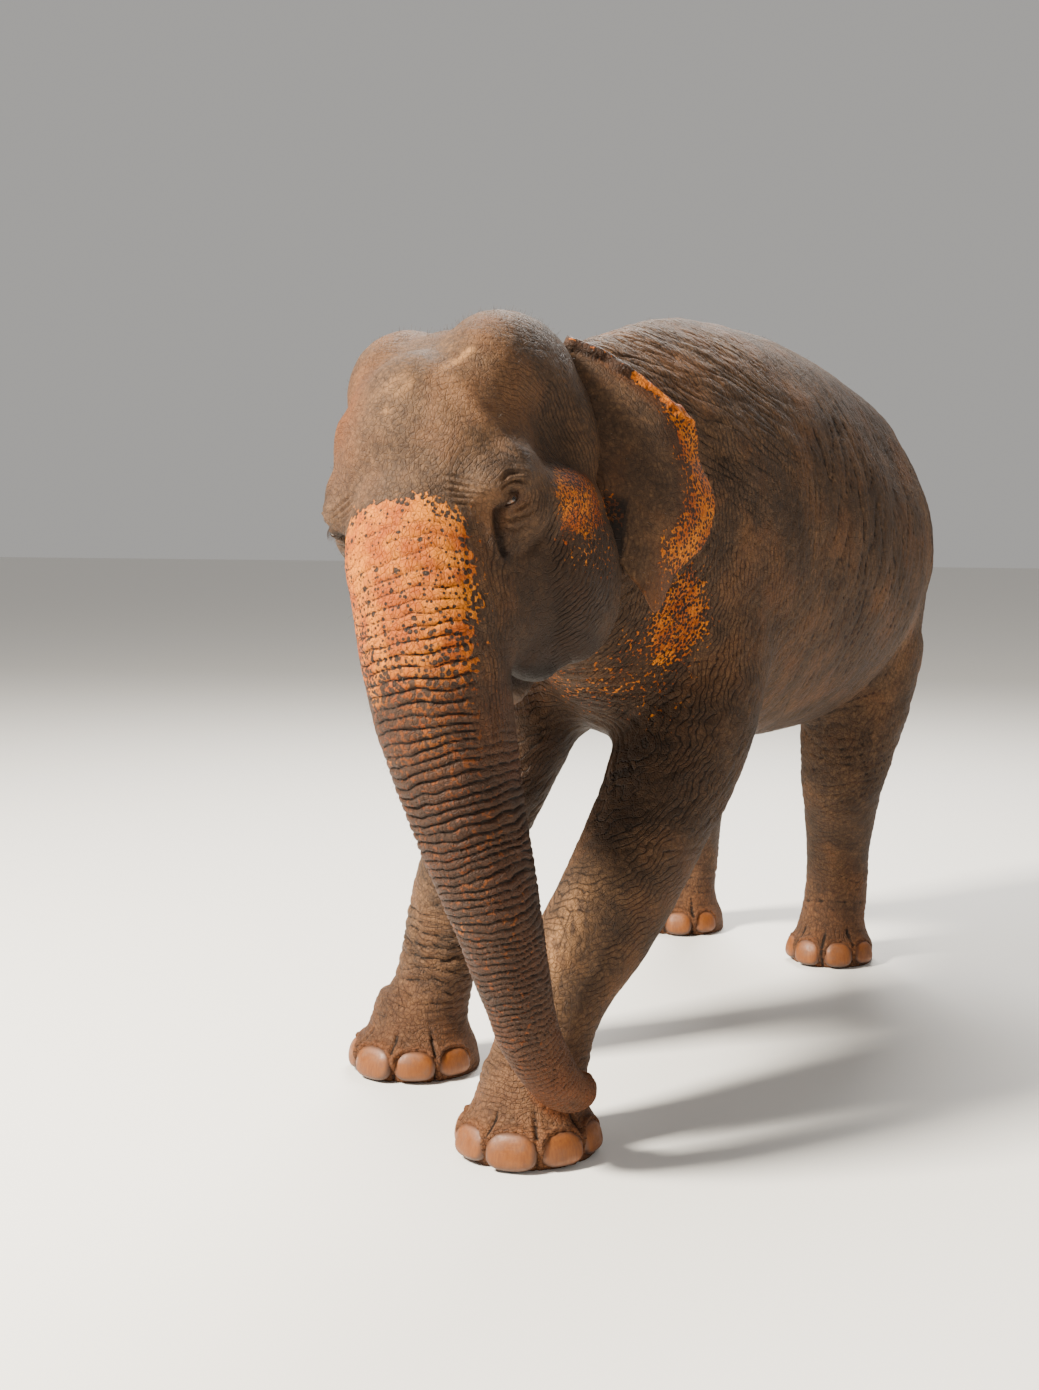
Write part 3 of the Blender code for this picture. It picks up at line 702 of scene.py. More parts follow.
normals = normalsOf(skin.data)[near]
place = inEyePlane(mirrored(inHead(points[near])))
place[:, 2] = 0
rise = np.zeros(len(place))
for line, width, depth, fade in eyeCreases:
    distance, which = nearLine(place, lineInEyePlane(line))
    end = np.minimum(which, creasePoints - 1 - which) / (creasePoints - 1)
    rise += groove(distance, width, depth, lip=0.25) * np.clip(end / fade, 0, 1)
points[near] += normals * (rise * (1 - inside) * (plane[:, 2] > -0.15))[:, None]
movePoints(skin.data, points)
report("eyelids")


# Ears: thin sheets from the side of the head, with a thick rolled rim along the top

earSettings = {
    # two curves in the head's frame: where the sheet leaves the head, and its edge
    "root": ((0.185, 0.34, 0.39), (0.265, 0.34, 0.22), (0.310, 0.28, 0.02), (0.325, 0.24, -0.17)),
    "edge": ((0.225, 0.37, 0.460), (0.300, 0.43, 0.402), (0.365, 0.485, 0.325), (0.425, 0.55, 0.245),
             (0.462, 0.605, 0.185), (0.472, 0.625, 0.10), (0.487, 0.64, -0.03), (0.470, 0.59, -0.135),
             (0.433, 0.47, -0.215), (0.403, 0.37, -0.305), (0.388, 0.31, -0.335), (0.370, 0.262, -0.27)),
    "inward": (-0.9, -0.3, 0),     # the way the sheet runs on inside the head, and how far
    "sunk": 0.055,
    "cup": (0.055, -0.030, 0),
    "roll": (0.030, -0.035, 0),
    "rollMiddle": 0.30,            # where along the edge the top folds forward, and how much of it
    "rollReach": 0.24,
    "rimRadius": 0.0265,
    "rimEnd": 0.375,               # where along the edge the thick rim ends in a knob
    "thinnest": 0.0042,
    "waves": (0.010, 0.006),       # share of the width by which the edge below the rim wanders
    "ripples": (0.010, 0.004),     # metres that the sheet there stands out and in
    "thickness": ((0.0, 0.016), (0.25, 0.010), (0.7, 0.0070), (1.0, 0.0055)),    # half of it, root to edge
    "rows": 120,
    "columns": 48,
    "grain": 0.0042,
}


def earSheet(side):
    s = earSettings
    rows, columns = s["rows"], s["columns"]
    along = np.linspace(0, 1, rows)[:, None]
    root = sampled(s["root"], rows)
    edge = sampled(s["edge"], rows)
    width = np.linalg.norm(edge - root, axis=1)[:, None]
    pastRim = ramp(s["rimEnd"] + 0.005, s["rimEnd"] + 0.105, along)
    waves = s["waves"][0] * np.sin(along * 31) + s["waves"][1] * np.sin(along * 71 + 1)
    width = width * (1 + waves * pastRim)
    fromEdge = (width + s["sunk"]) * (1 - np.linspace(0, 1, columns)[None, :]) ** 1.5
    out = 1 - fromEdge / width
    middle = root[:, None] + (edge - root)[:, None] * np.clip(out, 0, None)[..., None]
    middle += unit(s["inward"]) * (np.clip(-out, 0, None) * width)[..., None]
    inside = np.clip(out, 0, 1)
    middle += np.array(s["cup"]) * (np.sin(np.pi * inside) * np.sin(np.pi * along))[..., None]
    roll = np.clip(1 - np.abs(along - s["rollMiddle"]) / s["rollReach"], 0, 1)
    roll = roll * np.clip((out - 0.7) / 0.3, 0, 1)
    middle += np.array(s["roll"]) * (roll ** 2)[..., None]
    down = np.gradient(middle, axis=0)
    across = np.gradient(middle, axis=1)
    facing = np.cross(across, down)
    facing /= np.linalg.norm(facing, axis=2)[..., None] + 1e-9
    if facing[rows // 2, columns // 2, 0] < 0:
        facing = -facing
    ripple = s["ripples"][0] * np.sin(along * 19 + 2 * out) * inside ** 3
    ripple += s["ripples"][1] * np.sin(along * 43 - 3 * out) * inside ** 2
    middle += facing * (ripple * pastRim)[..., None]

    shares, halves = zip(*s["thickness"])
    half = np.interp(inside, shares, halves)
    rim = 1 - ramp(s["rimEnd"] - 0.015, s["rimEnd"] + 0.012, along)
    rim = s["rimRadius"] * rim * ramp(-0.08, 0.06, along)
    knob = s["rimRadius"] * 0.45 * hump(along - s["rimEnd"] + 0.03, 0.02)
    rim = (rim + knob) * (1 + 0.09 * np.sin(along * 90) + 0.07 * np.sin(along * 47))
    bead = np.sqrt(np.clip(rim ** 2 - (fromEdge - rim) ** 2, 0, None))
    half = half * np.sqrt(1 - np.clip(1 - fromEdge / half, 0, 1) ** 2)
    half = np.maximum(half, bead)
    step = np.linalg.norm(np.diff(edge, axis=0), axis=1).sum() / rows
    fromEnd = step * np.minimum(np.arange(rows), rows - 1 - np.arange(rows))[:, None] + 0.001
    half = np.maximum(half * np.sqrt(1 - np.clip(1 - fromEnd / 0.012, 0, 1) ** 2), s["thinnest"])

    faces = (middle + facing * half[..., None], middle - facing * half[..., None])
    flip = np.array((side, 1, 1))
    rings = [np.concatenate([faces[0][i], faces[1][i][-2::-1]]) * flip for i in range(rows)]
    mesh = loft([[Vector(spot) for spot in ring] for ring in rings])
    mesh.transform(headFrame)
    ear = fuse("ear", [mesh], s["grain"], 6)

    # where each point lies on the ear: out from the root, and along the edge
    tree = KDTree(rows * columns)
    spots = middle * flip @ headMatrix[:3, :3].T + headMatrix[:3, 3]
    for i, spot in enumerate(spots.reshape(-1, 3)):
        tree.insert(spot, i)
    tree.balance()
    points = pointsOf(ear.data)
    which = np.array([tree.find(point)[1] for point in points])
    normals = normalsOf(ear.data)
    outward = (facing * flip @ headMatrix[:3, :3].T).reshape(-1, 3)[which]
    onRim = ramp(2.4, 1.8, fromEdge / np.maximum(rim, 0.001)) * (rim > 0.004)
    values = {
        "earOut": np.clip(out, -0.2, 1).ravel()[which],
        "earAlong": np.repeat(along[:, 0], columns)[which],
        "earFront": (normals * outward).sum(1),
        "earRim": onRim.ravel()[which],
        "ear": np.ones(len(points)),
    }
    for name, numbers in values.items():
        store(ear.data, name, numbers)
    return ear


for side in (1, -1):
    ear = earSheet(side)
    union = skin.modifiers.new("ear", "BOOLEAN")
    union.operation = "UNION"
    union.solver = "MANIFOLD"
    union.object = ear
    settle(skin)
    bpy.data.objects.remove(ear)
report(f"ears joined, {len(skin.data.vertices)} points")




# Folds and wrinkles of the skin

bodyFolds = (
    # middle and spread of the region, the direction across the folds, spacing, stretch, depth
    ((0.20, -0.62, 1.90), (0.28, 0.30, 0.34), (0.0, 0.34, 0.94), 0.026, 8, 0.0115),     # neck
    ((0.25, -0.25, 1.95), (0.25, 0.28, 0.36), (0.1, 0.45, 0.89), 0.028, 7, 0.0095),     # withers and shoulder
    ((0.28, -0.62, 1.42), (0.26, 0.26, 0.28), (-0.1, -0.69, 0.72), 0.023, 9, 0.0105),   # lower neck
    ((0.10, -0.62, 1.20), (0.30, 0.30, 0.20), (0.3, -0.55, 0.78), 0.024, 8, 0.0110),    # throat and chest
    ((0.38, -0.12, 1.42), (0.20, 0.26, 0.26), (0.0, -0.60, 0.80), 0.025, 6, 0.0060),    # shoulder
    ((0.28, -0.45, 1.02), (0.20, 0.26, 0.22), (0.0, -0.50, 0.86), 0.026, 7, 0.0060),    # upper arm
    ((0.50, 0.45, 1.62), (0.25, 0.46, 0.44), (0.0, 0.97, -0.25), 0.034, 6, 0.0080),     # flank
    ((0.30, 0.40, 1.08), (0.35, 0.55, 0.20), (0.0, 0.80, 0.60), 0.036, 5, 0.0060),      # belly
    ((0.45, 1.12, 1.62), (0.25, 0.34, 0.40), (0.0, 0.86, -0.50), 0.032, 6, 0.0062),     # thigh
    ((0.28, 1.55, 1.50), (0.25, 0.22, 0.40), (0.4, 0.50, 0.80), 0.030, 5, 0.0062),      # rump
    ((0.30, 1.10, 0.95), (0.25, 0.25, 0.22), (0.0, -0.30, 0.95), 0.032, 6, 0.0075),     # knees
    ((0.10, 0.60, 2.20), (0.25, 0.60, 0.16), (0.0, 1.0, 0.15), 0.036, 5, 0.0045),       # back
)
legFolds = (
    # foot, middle along the leg's height, half height of the region, spacing, depth
    ("forefoot_left", 0.22, 0.075, 0.030, 0.0110),
    ("forefoot_left", 0.80, 0.130, 0.036, 0.0060),
    ("forefoot_right", 0.40, 0.170, 0.036, 0.0230),
    ("forefoot_right", 0.19, 0.070, 0.026, 0.0090),
    ("forefoot_right", 0.75, 0.130, 0.034, 0.0070),
    ("hindfoot_left", 0.26, 0.170, 0.030, 0.0095),
    ("hindfoot_left", 0.66, 0.120, 0.034, 0.0070),
    ("hindfoot_right", 0.26, 0.170, 0.030, 0.0095),
    ("hindfoot_right", 0.66, 0.120, 0.034, 0.0070),
)
trunkSettings = {
    # at places along it, in metres from its root
    "ringSpacing": ((0.0, 0.032), (0.45, 0.029), (0.9, 0.024), (1.3, 0.018), (1.75, 0.012)),
    "ringDepth": ((0.0, 0.0), (0.12, 0.0030), (0.25, 0.0060), (0.42, 0.0074), (0.52, 0.0092),
                  (0.9, 0.0120), (1.3, 0.0085), (1.75, 0.0038)),
    "sideFolds": 0.0042,          # depth of the upright folds beside the rings
    "nostrilApart": 0.0155,       # from the middle of the tip
    "nostrilDepth": 0.020,
    "fingerHeight": 0.010,
}
headWrinkles = (
    # place in the head's frame and spread, the direction across the wrinkles, spacing, stretch, depth
    ((0.27, 0.22, -0.28), (0.12, 0.10, 0.20), (0.3, 0.95, 0), 0.015, 8, 0.0044),       # rear of the cheek
    ((0.29, 0.06, 0.10), (0.10, 0.12, 0.06), (0.2, 0.2, 0.96), 0.013, 7, 0.0036),      # temple
    ((0.24, 0.20, 0.36), (0.12, 0.20, 0.16), (0.1, -0.5, 0.86), 0.022, 3, 0.0026),     # crown
    ((0.15, -0.24, 0.12), (0.12, 0.10, 0.14), (0.1, -0.3, 0.95), 0.018, 4, 0.0012),    # brow
    ((0.10, 0.10, -0.42), (0.16, 0.16, 0.12), (0.0, 0.5, 0.86), 0.022, 5, 0.0055),     # jaw
)
wrinkleDepths = {
    "cheekRings": 0.0042, "fineHead": 0.0010, "earVeins": 0.0014, "earRim": 0.0030, "fineEar": 0.0010,
    "fineBody": 0.0012,
}
nailSkin = {
    # the fold over each nail, the gap round it, its bed, and the cracks up the foot between nails
    "fold": 0.0075, "foldAt": 1.20, "foldWidth": 0.13, "fringe": 0.035,
    "gap": 0.0060, "gapWidth": 0.10, "bed": 0.0100, "crackWidth": 0.0060, "crackDepth": 0.0075,
}
nailSettings = {
    "spacing": 39, "taper": 0.16, "level": 0.053, "lean": 14, "sunk": 0.016,
    "foreWidth": 0.062, "hindWidth": 0.050, "height": 0.047, "depth": 0.024,
}


def nailPlaces(foot):
    # a frame for each nail on the front of the foot: X across it, Y out of it, Z up; and its half sizes
    leg = legs[foot]
    s = nailSettings
    places = []
    for i in range(leg["nails"]):
        angle = math.radians((i - (leg["nails"] - 1) / 2) * s["spacing"])
        outer = 1 - s["taper"] * abs(math.sin(angle))
        heading = (footFrame(leg).to_3x3() @ Vector((math.sin(angle), -math.cos(angle), 0))).normalized()
        start = footFrame(leg) @ Vector((0, 0, s["level"])) + heading * 0.5
        spot = skinTree.ray_cast(start, -heading)[0] or start - heading * 0.33
        turn = Matrix.Rotation(math.atan2(heading.x, -heading.y) + math.pi, 4, "Z")
        lean = Matrix.Rotation(math.radians(s["lean"]), 4, "X")
        width = s["foreWidth"] if leg["nails"] == 5 else s["hindWidth"]
        frameOf = Matrix.Translation(spot - heading * s["sunk"]) @ turn @ lean
        places.append((frameOf, width * outer, s["height"] * outer))
    return places


skinTree = BVHTree.FromPolygons(pointsOf(skin.data).tolist(), [tuple(p.vertices) for p in skin.data.polygons])
nailsOf = {foot: nailPlaces(foot) for foot in legs}
report("nails placed")

points = pointsOf(skin.data)
normals = normalsOf(skin.data)
earness = ramp(0.3, 0.9, attributeOf(skin.data, "ear"))
rise = np.zeros(len(points))
flat = mirrored(points)
trunkPoints = points[:, 1] < -1.10
trunk = Limb(points[trunkPoints], trunkLine, (0, -1, 0))
trunkness = np.zeros(len(points))
trunkness[trunkPoints] = ramp(1.75, 1.35, trunk.near) * ramp(0.05, 0.30, trunk.along)
h = mirrored(inHead(points))
headness = ramp(0.42, 0.30, h[:, 1]) * ramp(-0.62, -0.55, h[:, 2]) * (1 - trunkness) * (points[:, 2] > 1.0)
bodyness = (1 - earness) * (1 - trunkness) * (1 - headness)

total = np.full(len(points), 1e-3)
heights = np.zeros(len(points))
for i, (middle, spread, across, spacing, stretch, depth) in enumerate(bodyFolds):
    weight = blob(flat, middle, spread) ** 1.5
    here = (weight > 0.02) & (bodyness > 0)
    weight = np.where(here, weight, 0)
    height = folds(points[here], across, spacing, stretch, 20 + i)
    fine = folds(points[here], across, spacing * 0.45, stretch * 0.8, 50 + i)
    heights[here] += weight[here] * depth * (height + 0.35 * fine - 1.2)
    total += weight
rise += bodyness * heights / np.maximum(total, 0.55)
report("body folds")

for i, (foot, middle, halfHeight, spacing, depth) in enumerate(legFolds):
    line = np.array(legs[foot]["line"])
    knot = line[np.argmin(np.abs(line[:, 2] - middle))]
    here = np.hypot(points[:, 0] - knot[0], points[:, 1] - knot[1]) < 0.30
    here &= np.abs(points[:, 2] - middle) < 2 * halfHeight
    spots = points[here]
    waves = 0.35 * noise(spots, 0.16, 70 + i) + 0.25 * noise(spots, 0.07, 80 + i)
    height = (0.45 * ringed(spots[:, 2] / spacing + waves * 1.8, 0.7)
              + 0.55 * folds(spots, (0.35, 0.1, 0.93), spacing * 0.9, 5, 100 + i))
    weight = hump(spots[:, 2] - middle, halfHeight) * (0.75 + 0.25 * noise(spots, 0.12, 90 + i))
    rise[here] += depth * weight * (height - 0.75) * bodyness[here]

# skin round the nails: a fringed fold over each, and a crack up the foot between them
s = nailSkin
nailNear = np.zeros(len(points))
for foot, places in nailsOf.items():
    sole = footFrame(legs[foot]).translation
    here = np.hypot(points[:, 0] - sole.x, points[:, 1] - sole.y) < 0.32
    here &= points[:, 2] < 0.30
    spots = points[here]
    around = np.arctan2(spots[:, 0] - sole.x, -(spots[:, 1] - sole.y))
    change = np.zeros(len(spots))
    for frameOf, width, height in places:
        inverse = np.array(frameOf.inverted())
        local = spots @ inverse[:3, :3].T + inverse[:3, 3]
        q = (np.abs(local[:, 0] / width) ** 2.3 + np.abs(local[:, 2] / height) ** 2.3) ** (1 / 2.3)
        q = q + s["fringe"] * np.sin(13 * np.arctan2(local[:, 2], local[:, 0])) * (local[:, 2] > 0)
        facing = local[:, 1] > -0.08
        fold = s["fold"] * hump(q - s["foldAt"], s["foldWidth"]) * ramp(-0.5, 0.3, local[:, 2] / height)
        gap = s["gap"] * hump(q - 1, s["gapWidth"])
        change += (fold - gap - s["bed"] * ramp(1.0, 0.8, q)) * facing
        nailNear[here] = np.maximum(nailNear[here], hump(np.maximum(q - 1, 0), 0.35) * facing)
    for (first, _, _), (second, _, _) in zip(places, places[1:]):
        middle = (first.translation + second.translation) / 2 - sole
        heading = math.atan2(middle.x, -middle.y)
        apart = (around - heading + math.pi) % math.tau - math.pi
        distance = np.abs(apart) * 0.18 + 0.006 * noise(spots, 0.05, 95)
        crack = groove(np.abs(distance), s["crackWidth"], s["crackDepth"])
        change += crack * ramp(0.17, 0.11, spots[:, 2])
    rise[here] += change
report("feet")

# trunk rings
s = trunkSettings
along = trunk.along
places, spacings = zip(*s["ringSpacing"])
grid = np.linspace(0, trunk.length + 0.1, 400)
count = np.concatenate([[0], np.cumsum(np.diff(grid) / np.interp(grid[1:], places, spacings))])
turns = np.interp(along, grid, count)
ringPlace = np.column_stack([np.cos(trunk.angle) * 1.1, np.sin(trunk.angle) * 1.1, turns * 0.30])
waver = 0.55 * noise(ringPlace, 1.0, 5) + 0.25 * noise(ringPlace * (3, 3, 1.2), 1.0, 6)
broken = 0.5 + 0.5 * np.clip(0.5 + noise(ringPlace * (1.6, 1.6, 2.2), 1.0, 8), 0, 1)
ring = ringed(turns + waver, np.interp(along, (0.3, 0.6), (0.4, 0.7)))
second = ringed(turns * 2 + 2.2 * waver + 0.3 * noise(ringPlace * (4, 4, 3), 1.0, 9), 0.6)
places, depths = zip(*s["ringDepth"])
depth = np.interp(along, places, depths)
around = np.abs(trunk.angle) + 0.12 * noise(ringPlace * (2, 2, 0.5), 1.0, 13)
onFront = np.maximum(ramp(1.12, 0.72, around), ramp(0.62, 0.92, along))
trunkRise = onFront * (depth * broken * (ring - 0.85) + 0.35 * depth * (second - 0.8))
side = hump(np.abs(trunk.angle) - 1.25, 0.50)
upright = wrinkles(np.column_stack([trunk.angle * 0.17, along, 0 * along]), (1, 0, 0), 0.015, 7, 12)
trunkRise += s["sideFolds"] * side * ramp(0.95, 0.65, along) * ramp(0.22, 0.34, along) * upright
rise[trunkPoints] += trunkness[trunkPoints] * trunkRise
report("trunk rings")

# the end of the trunk: two nostrils over its one finger
aim = unit(np.subtract(trunkLine[-1][:3], trunkLine[-2][:3]))
across = unit(np.cross(aim, (0, 0, 1)))
offset = points[trunkPoints] - trunkLine[-1][:3]
x, y, z = offset @ across, offset @ aim, offset @ np.cross(across, aim)
nostrils = hump(np.abs(x) - s["nostrilApart"], 0.0085) * hump(z - 0.004, 0.0125) * (y > -0.010)
finger = hump(x, 0.014) * hump(z + 0.036, 0.012) * ramp(-0.020, 0.005, y)
tipRise = s["fingerHeight"] * finger - s["nostrilDepth"] * nostrils
rise[trunkPoints] += tipRise * (np.linalg.norm(offset, axis=1) < 0.09)

# wrinkles of the head
s = wrinkleDepths
here = headness > 0.01
spots = h[here]
plane = inEyePlane(spots)
fromEye = np.sqrt((plane[:, :2] ** 2).sum(1))
onCheek = blob(spots, (0.29, 0.02, -0.22), (0.12, 0.13, 0.15))
rounds = ringed(fromEye / 0.019 + 1.1 * noise(spots, 0.10, 31) + 0.7 * noise(spots, 0.040, 32), 0.6)
headRise = s["cheekRings"] * onCheek * (rounds - 0.8) * ramp(-0.6, 0.3, noise(spots, 0.06, 30))
for i, (middle, spread, across, spacing, stretch, depth) in enumerate(headWrinkles):
    headRise += depth * blob(spots, middle, spread) * wrinkles(spots, across, spacing, stretch, 33 + i)
headRise += s["fineHead"] * wrinkles(spots, (0.2, 0.3, 0.9), 0.012, 2.5, 38)
rise[here] += headness[here] * headRise
report("head wrinkles")

# wrinkles of the ears
here = earness > 0.01
spots = h[here]
out = attributeOf(skin.data, "earOut")[here]
rim = attributeOf(skin.data, "earRim")[here]
veins = wrinkles(spots, (0.2, 0.75, 0.5), 0.030, 5, 41)
rimFolds = wrinkles(spots, (0.5, 0.5, -0.7), 0.018, 2, 42)
fine = wrinkles(spots, (0.1, 0.9, 0.1), 0.012, 3, 43)
earRise = s["earVeins"] * veins + s["earRim"] * rim * rimFolds + s["fineEar"] * fine * ramp(0.4, 0.9, out)
rise[here] += earness[here] * earRise

# small wrinkles all over, finest on the face
small = wrinkles(points, (0.1, 0.3, 0.95), 0.020, 2.0, 45)
rise += s["fineBody"] * small * bodyness
points += normals * rise[:, None]
points[:, 2] = np.maximum(points[:, 2], 0)
movePoints(skin.data, points)
soften(skin, np.full(len(points), 0.5), 1)
report("folds")


# Marks that the skin's colours follow: where it has lost its pigment, where it is worn, painted shade in
# creases, hollows and shaded places, and painted sunlight on the left shin

# how deep each point lies in a hollow: creases and hollows get painted shade from it, and ridges are made
# lighter
points = pointsOf(skin.data)
normals = normalsOf(skin.data)
smoothed = addObject("smoothed", skin.data.copy())
blur = smoothed.modifiers.new("soften", "SMOOTH")
blur.factor = 0.5
blur.iterations = 14
settle(smoothed)
hollow = ((pointsOf(smoothed.data) - points) * normals).sum(1)
bpy.data.objects.remove(smoothed)
hollowShade = np.clip(hollow / 0.0030, -1, 1)      # 1 in a crease of 3 mm

rough = noise(points, 0.09, 61)
rougher = noise(points, 0.035, 62)
flat = mirrored(points)
h = mirrored(inHead(points))
ownH = inHead(points)
frames = {"head": h, "sides": flat, "body": points}    # the first two are the same on her left and right
inFront = points[:, 1] < -1.10
trunk = Limb(points[inFront], trunkLine, (0, -1, 0))

barePatches = (
    # frame, middle, half sizes, strength, softness of the border, and 1 where it stops at the ear
    ("head", (0.325, 0.060, -0.012), (0.09, 0.125, 0.098), 0.74, 0.25, 1),       # cheekbone
    ("head", (0.31, 0.08, -0.13), (0.10, 0.14, 0.10), 0.22, 0.25, 1),            # cheek
    ("sides", (0.24, -0.57, 1.40), (0.14, 0.115, 0.170), 0.55, 0.45, 1),         # neck
    ("sides", (0.13, -0.64, 1.26), (0.20, 0.15, 0.16), 0.28, 0.60, 1),           # throat
    ("head", (0.335, 0.255, -0.035), (0.034, 0.026, 0.066), 0.42, 0.25, 0),      # before the ear
    ("body", (0.22, -1.19, 0.19), (0.06, 0.06, 0.05), 0.50, 0.25, 0),            # tip of the trunk
)
bareTrunk = {
    # at places along it, in metres from its root
    "breadth": ((0.0, 0.60), (0.20, 0.92), (0.34, 1.16), (0.9, 1.10), (1.3, 1.0), (1.8, 0.8)),
    "strength": ((0.0, 0.86), (0.28, 0.86), (0.44, 0.64), (0.60, 0.46), (0.80, 0.36), (1.8, 0.30)),
    "top": 0.050,       # height of its jagged upper border in the head's frame
}
paintedShadePlaces = (
    # painted shade: frame, middle, spread, strength, and 1 where it stops at the ear
    ("head", (0.26, 0.05, 0.19), (0.10, 0.11, 0.10), 0.45, 1),            # temple
    ("head", (0.262, -0.20, 0.078), (0.05, 0.040, 0.026), 0.70, 0),       # under the brow
    ("head", (0.16, 0.0, -0.45), (0.12, 0.16, 0.06), 0.90, 1),            # lip and jaw
    ("head", (0.25, 0.02, -0.32), (0.13, 0.20, 0.18), 0.82, 1),           # lower cheek
    ("head", (0.30, 0.02, -0.17), (0.10, 0.17, 0.10), 0.28, 1),           # cheek
    # painted shadow that the head and neck cast on the upper forelegs and chest
    ("sides", (0.16, -0.62, 0.80), (0.25, 0.40, 0.34), 0.45, 1),          # upper forelegs
    ("sides", (0.10, -0.55, 1.02), (0.20, 0.22, 0.18), 0.40, 0),          # chest
)
markLines = {
    "scar": ((0.000, -0.300, 0.255), (0.060, -0.255, 0.290), (0.165, -0.134, 0.386)),
    "shin": ((0.10, -1.02, 0.70), (0.085, -1.09, 0.55), (0.05, -1.20, 0.38)),
    # where painted shadow lies between the cheek and the ear
    "gap": ((0.300, 0.255, -0.04), (0.308, 0.245, -0.12), (0.302, 0.245, -0.19), (0.290, 0.25, -0.26)),
}


def patch(spots, middle, radii, strength, edge):
    distance = np.sqrt((((spots - middle) / radii) ** 2).sum(1)) + 0.16 * rough + 0.12 * rougher
    return strength * ramp(1 + edge, 1 - edge, distance)


# front of the trunk, from a jagged line at the height of the eyes
breadth = np.interp(trunk.along, *zip(*bareTrunk["breadth"]))
strength = np.interp(trunk.along, *zip(*bareTrunk["strength"]))
jagged = 0.10 * rough[inFront] + 0.10 * rougher[inFront]
side = ramp(0.50, -0.45, np.abs(trunk.angle) - breadth + jagged)
jagged = 0.022 * rougher[inFront] + 0.012 * rough[inFront]
fromTop = h[inFront][:, 2] - bareTrunk["top"] - jagged + 0.25 * np.abs(h[inFront][:, 0])
paleTrunk = np.zeros(len(points))
paleTrunk[inFront] = trunkness[inFront] ** 0.3 * side * ramp(0.035, -0.045, fromTop) * strength

bare = [patch(frames[where], middle, radii, strength, edge) * (1 - earness * stops)
        for where, middle, radii, strength, edge, stops in barePatches]
cheek = bare[0]

# border, rolled rim and faint edge of the ears
out = attributeOf(skin.data, "earOut")
alongEdge = attributeOf(skin.data, "earAlong")
front = ramp(-0.3, 0.3, attributeOf(skin.data, "earFront"))
rim = attributeOf(skin.data, "earRim")
border = ramp(0.45, 0.72, out + 0.06 * rough + 0.05 * rougher)
border = border * ramp(0.26, 0.36, alongEdge) * ramp(0.84, 0.72, alongEdge)
bare.append(earness * border * (0.35 + 0.18 * front))
bareRim = ramp(0.17, 0.21, alongEdge + 0.02 * rougher) * ramp(-0.02, 0.05, alongEdge)
bare.append(0.85 * earness * rim * bareRim)
bare.append(0.18 * earness * ramp(0.5, 0.9, out))
store(skin.data, "pale", np.maximum.reduce([paleTrunk] + bare))
store(skin.data, "worms", np.clip(cheek * 1.3, 0, 1))
store(skin.data, "onTrunk", np.clip(paleTrunk * 1.5, 0, 1))

# lighter places: worn scratches over the forehead, and on the front of the left shin grazed skin with a
# painted sunlit streak
streaks = folds(ownH, (0.62, 0.1, -0.78), 0.010, 9, 63) * ramp(-0.2, 0.5, rough)
scar = nearLine(ownH[inFront], sampled(markLines["scar"], 50))[0]
wornAndLit = np.zeros(len(points))
wornAndLit[inFront] = (0.9 * hump(scar, 0.011) * ramp(-0.4, 0.1, rougher[inFront])
                 + 0.45 * hump(scar, 0.040) * streaks[inFront])
wornAndLit += 0.25 * blob(ownH, (0.02, -0.20, 0.34), (0.16, 0.14, 0.07)) * streaks
# painted sunlight down the front of the left shin, broken into grazed streaks
shin = nearLine(points, sampled(markLines["shin"], 12))[0]
grazed = folds(points, (0.9, 0.3, 0), 0.012, 6, 64)
wornAndLit += 0.58 * hump(shin, 0.050) * ramp(0.3, 1.0, grazed + 0.4 * rougher)
store(skin.data, "wornAndLit", np.clip(wornAndLit, 0, 1))

# darker places: painted shade along the tear groove, round the eyes, in the face's hollows, on the forelegs
# and chest, under the belly, in the gap before the ear and at the ear's root; darker skin with painted shade
# down the trunk; and a darker strip on the ear's rim
place = inEyePlane(h)
tear = nearLine((place * (1, 1, 0))[inFront], lineInEyePlane(eyeCreases[0][0]))[0]
dark = np.zeros(len(points))
dark[inFront] = hump(tear, 0.013) * (place[inFront][:, 2] > -0.1)
fromEye = np.sqrt((place[:, :2] ** 2).sum(1))
dark += 0.75 * hump(fromEye, 0.030) * (place[:, 2] > -0.1)
for where, middle, spread, strength, stops in paintedShadePlaces:
    dark += strength * blob(frames[where], middle, spread) * (1 - earness * stops)
# darker skin down the trunk, with painted shade
dark[inFront] += 0.76 * trunkness[inFront] * ramp(0.50, 0.90, trunk.along) * ramp(1.95, 1.35, trunk.along)
# painted shade under the belly
onBelly = (points[:, 1] > -0.3) & (points[:, 1] < 1.0) & (points[:, 2] > 0.85)
dark += 0.35 * ramp(1.10, 0.96, points[:, 2]) * onBelly
# painted shadow in the gap between the cheek and the ear
gap = nearLine(h[inFront], sampled(markLines["gap"], 20))[0]
dark[inFront] += 1.2 * hump(gap, 0.034)
# painted shade at the ear's root, and a darker strip on its rim
dark += 0.45 * earness * ramp(0.22, 0.0, out) + 0.8 * earness * rim * ramp(0.21, 0.17, alongEdge)
store(skin.data, "dark", np.clip(dark, 0, 1))

# painted shade in the creases, in the gap before the ear, at the ear's root and under the lip, all in one
# mask
hollowShade[inFront] = np.maximum(hollowShade[inFront], 0.9 * hump(gap, 0.030))
rootShade = earness * ramp(0.24, 0.10, out) * ramp(0.02, -0.05, h[:, 2]) * ramp(-0.31, -0.24, h[:, 2])
lipShade = blob(h, (0.19, -0.06, -0.455), (0.11, 0.15, 0.030))
store(skin.data, "hollowShade", np.maximum(hollowShade, np.maximum(0.9 * rootShade, 0.7 * lipShade)))

